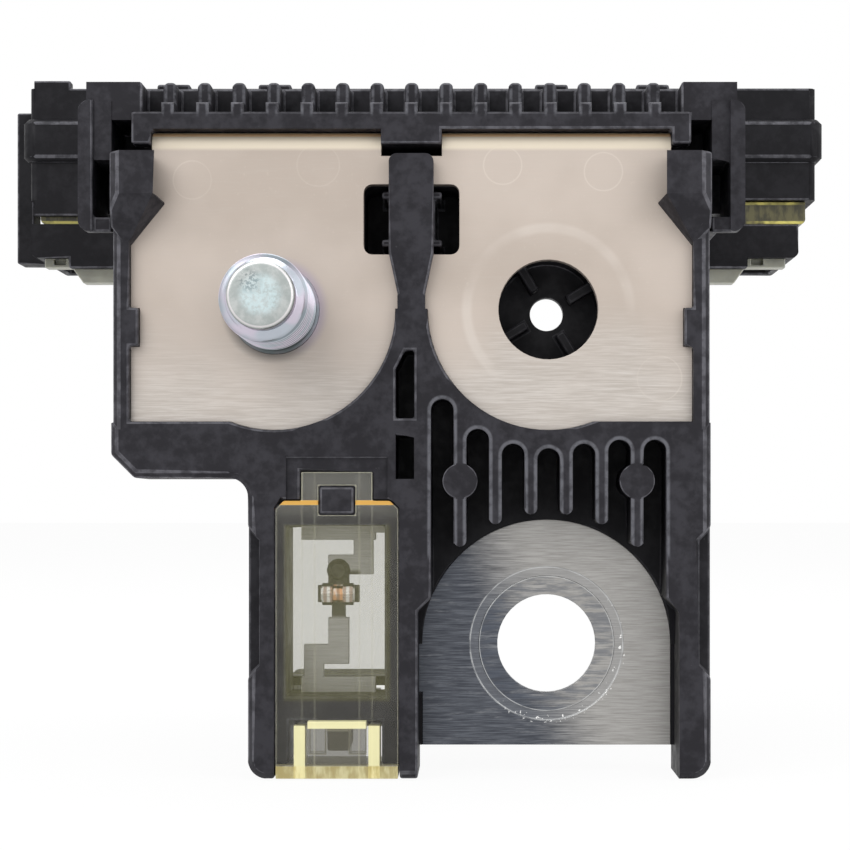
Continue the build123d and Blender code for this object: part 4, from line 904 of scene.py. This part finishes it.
def turned(profile):
    """A closed solid turned about the Y axis: profile is (radius, y) from pole to pole."""
    work = bmesh.new()
    rings = []
    for radius, y in profile:
        if radius == 0:
            rings.append([work.verts.new((0, y, 0))])
            continue
        angles = (2 * math.pi * step / TURN_STEPS for step in range(TURN_STEPS))
        rings.append([work.verts.new((radius * math.cos(a), y, radius * math.sin(a))) for a in angles])
    for one, two in zip(rings, rings[1:]):
        for step in range(TURN_STEPS):
            after = (step + 1) % TURN_STEPS
            ring = [one[step % len(one)], one[after % len(one)], two[after % len(two)], two[step % len(two)]]
            work.faces.new(list(dict.fromkeys(ring)))
    bmesh.ops.recalc_face_normals(work, faces=work.faces)
    mesh = bpy.data.meshes.new("turned")
    work.to_mesh(mesh)
    work.free()
    return mesh


def rounded_rim(radius, y, edge):
    """Profile points of a rounded rim at a radius, turning on to a flat that faces forwards."""
    points = []
    for step in range(RIM_STEPS + 1):
        turn = math.pi / 2 * step / RIM_STEPS
        points.append((radius - edge + edge * math.cos(turn), y + edge - edge * math.sin(turn)))
    return points


# Terminal stud
def thread_tree():
    """A helical thread about the Y axis, drawn as a sheet wrapped round on itself."""
    tree = bpy.data.node_groups.new("stud_thread", "GeometryNodeTree")
    for name, value in (
        ("Length", 0.01), ("Span", 0.01), ("Pitch", THREAD_PITCH), ("Crest radius", THREAD_R),
        ("Root radius", THREAD_ROOT_R), ("Chamfer radius", DOG_R),
    ):
        socket = tree.interface.new_socket(name, in_out="INPUT", socket_type="NodeSocketFloat")
        socket.default_value = value
    rows = tree.interface.new_socket("Rows", in_out="INPUT", socket_type="NodeSocketInt")
    rows.default_value = 100
    tree.interface.new_socket("Finish", in_out="INPUT", socket_type="NodeSocketMaterial")
    tree.interface.new_socket("Geometry", in_out="OUTPUT", socket_type="NodeSocketGeometry")

    given = tree.nodes.new("NodeGroupInput")
    length, span, pitch, crest, root, chamfer = (
        Number(tree, given.outputs[name])
        for name in ("Length", "Span", "Pitch", "Crest radius", "Root radius", "Chamfer radius")
    )
    grid = tree.nodes.new("GeometryNodeMeshGrid")
    grid.inputs["Vertices X"].default_value = TURN_STEPS + 1
    tree.links.new(given.outputs["Rows"], grid.inputs["Vertices Y"])
    place = tree.nodes.new("ShaderNodeSeparateXYZ")
    tree.links.new(tree.nodes.new("GeometryNodeInputPosition").outputs[0], place.inputs[0])
    turn = Number(tree, place.outputs["X"]) + 0.5
    row = (Number(tree, place.outputs["Y"]) + 0.5) * span
    along = (row - (1 - turn) * pitch).math("MAXIMUM", 0.0).math("MINIMUM", length)

    phase = (row / pitch).math("FRACT")
    wave = (phase * 2 - 1).math("ABSOLUTE")
    depth = ((wave - ROOT_FLAT) / FLANK_SHARE).math("MULTIPLY", 1.0, clamp=True)
    depth = depth * (along / pitch).math("MINIMUM", 1.0)
    radius = root + (crest - root) * depth
    radius = radius.math("MINIMUM", chamfer + length - along)
    angle = turn * (2 * math.pi)
    joined = tree.nodes.new("ShaderNodeCombineXYZ")
    values = {"X": angle.math("COSINE") * radius, "Y": along, "Z": angle.math("SINE") * radius}
    for axis, value in values.items():
        tree.links.new(value.socket, joined.inputs[axis])

    moved = tree.nodes.new("GeometryNodeSetPosition")
    tree.links.new(grid.outputs["Mesh"], moved.inputs["Geometry"])
    tree.links.new(joined.outputs[0], moved.inputs["Position"])
    real = tree.nodes.new("GeometryNodeRealizeInstances")
    tree.links.new(moved.outputs[0], real.inputs[0])
    finish = tree.nodes.new("GeometryNodeSetMaterial")
    tree.links.new(real.outputs[0], finish.inputs["Geometry"])
    tree.links.new(given.outputs["Finish"], finish.inputs["Material"])
    out = tree.nodes.new("NodeGroupOutput")
    tree.links.new(finish.outputs[0], out.inputs["Geometry"])
    return tree


def wrap(piece, tree, values):
    """Put a node tree on a piece, with its inputs set by name, and keep the plain mesh."""
    modifier = piece.modifiers.new(tree.name, "NODES")
    modifier.node_group = tree
    for item in tree.interface.items_tree:
        if item.in_out == "INPUT" and item.name in values:
            modifier[item.identifier] = values[item.name]
    bake(piece)


def stud():
    """Threaded stud with its collar and head, built round the Y axis and set in the left plate."""
    length = COLLAR_FRONT - THREAD_END
    piece = add_piece("terminal_stud_thread", bpy.data.meshes.new("thread"), "zinc_steel")
    spaces = math.ceil((length / THREAD_PITCH + 1) * ROWS_A_TURN)
    span = spaces * THREAD_PITCH / ROWS_A_TURN
    values = {"Length": length, "Span": span, "Rows": spaces + 1, "Finish": FINISHES["zinc_steel"]}
    wrap(piece, thread_tree(), values)

    work = bmesh.new()
    work.from_mesh(piece.data)
    bmesh.ops.remove_doubles(work, verts=work.verts, dist=WELD)
    # The thread was drawn from the collar out, so it is turned to run forwards
    for vertex in work.verts:
        vertex.co.y = COLLAR_FRONT - vertex.co.y
    bmesh.ops.holes_fill(work, edges=[edge for edge in work.edges if edge.is_boundary], sides=0)
    bmesh.ops.recalc_face_normals(work, faces=work.faces)
    dog_foot = THREAD_END + THREAD_CHAMFER
    dog = [(0, dog_foot), (DOG_R - DOG_EDGE, dog_foot), (DOG_R, THREAD_END)]
    dog += rounded_rim(DOG_R, STUD_LOW.y, DOG_EDGE)
    dog += [(0, STUD_LOW.y)]
    head = [
        (0, COLLAR_FRONT), (COLLAR_R, COLLAR_FRONT), (COLLAR_R, PLATE_BACK), (HEAD_R, PLATE_BACK),
        (HEAD_R, HEAD_BACK), (0, HEAD_BACK),
    ]
    for profile in (dog, head):
        mesh = turned(profile)
        work.from_mesh(mesh)
        bpy.data.meshes.remove(mesh)
    bmesh.ops.translate(work, verts=work.verts, vec=(STUD_X, 0, STUD_Z))
    work.to_mesh(piece.data)
    work.free()
    piece.data.materials.clear()
    piece.data.materials.append(FINISHES["zinc_steel"])
    smooth(piece.data, STUD_SHARP)
    dress(piece, "terminal_stud")


stud()
for part in frame["record"]["subparts"]:
    if part["material_slot"] in EDGE_RADIUS:
        rounded(part["node"], part["material_slot"], EDGE_RADIUS[part["material_slot"]])


# Floor, backdrop and lamps
FLOOR_HALF = 4.0
FLOOR_GAP = 0.1 * MM
CARD_GLOW = 0.94
AMBIENT = 0.7
MIDDLE = (CAMERA_X, 0.01, 0.02)


def looked_at(tree):
    """1 for what the camera, gloss and clear plastic see, 0 for the light that falls on things."""
    rays = tree.nodes.new("ShaderNodeLightPath")
    seen = Number(tree, rays.outputs["Is Camera Ray"])
    for name in ("Is Glossy Ray", "Is Transmission Ray"):
        seen = seen.math("MAXIMUM", Number(tree, rays.outputs[name]))
    return seen


def white_card():
    """Pale card that the camera, gloss and clear plastic see as white, with the part's shadow kept."""
    paint = Paint("white_card")
    card = paint.node("ShaderNodeBsdfDiffuse", inputs={"Color": (0.85, 0.85, 0.85, 1.0)})
    glow = paint.node("ShaderNodeEmission", inputs={"Color": (1.0, 1.0, 1.0, 1.0), "Strength": 1.0})
    shown = paint.node("ShaderNodeMixShader", inputs={0: looked_at(paint.tree) * CARD_GLOW, 1: card, 2: glow})
    out = paint.tree.nodes.new("ShaderNodeOutputMaterial")
    paint.tree.links.new(shown.socket, out.inputs["Surface"])
    return paint.material


def floor():
    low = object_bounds()[0][2] - FLOOR_GAP
    corners = [(x * FLOOR_HALF, y * FLOOR_HALF, low) for x, y in ((-1, -1), (1, -1), (1, 1), (-1, 1))]
    mesh = bpy.data.meshes.new("floor")
    mesh.from_pydata(corners, [], [(0, 1, 2, 3)])
    mesh.materials.append(white_card())
    card = bpy.data.objects.new("floor", mesh)
    bpy.context.scene.collection.objects.link(card)
    card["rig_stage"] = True


def lamp(name, place, target, size, power):
    data = bpy.data.lights.new(name, "AREA")
    data.size = size
    data.energy = power
    light = bpy.data.objects.new(name, data)
    light.location = place
    light.rotation_euler = (Vector(target) - Vector(place)).to_track_quat("-Z", "Y").to_euler()
    bpy.context.scene.collection.objects.link(light)


def surroundings():
    """White where the camera, gloss and clear plastic see it, and level grey light for the rest."""
    world = bpy.data.worlds.new("studio")
    bpy.context.scene.world = world
    world.use_nodes = True
    tree = world.node_tree
    tree.nodes.clear()
    background = tree.nodes.new("ShaderNodeBackground")
    background.inputs["Color"].default_value = (1.0, 1.0, 1.0, 1.0)
    strength = looked_at(tree) * (1 - AMBIENT) + AMBIENT
    tree.links.new(strength.socket, background.inputs["Strength"])
    out = tree.nodes.new("ShaderNodeOutputWorld")
    tree.links.new(background.outputs[0], out.inputs["Surface"])


floor()
surroundings()
lamp("key", (-0.45, -0.50, 0.60), MIDDLE, 0.70, 4.0)
lamp("fill", (0.55, -0.40, 0.25), MIDDLE, 0.60, 1.6)
lamp("top", (0.0, 0.15, 0.60), MIDDLE, 0.50, 2.0)

bpy.context.scene.view_settings.view_transform = "Standard"
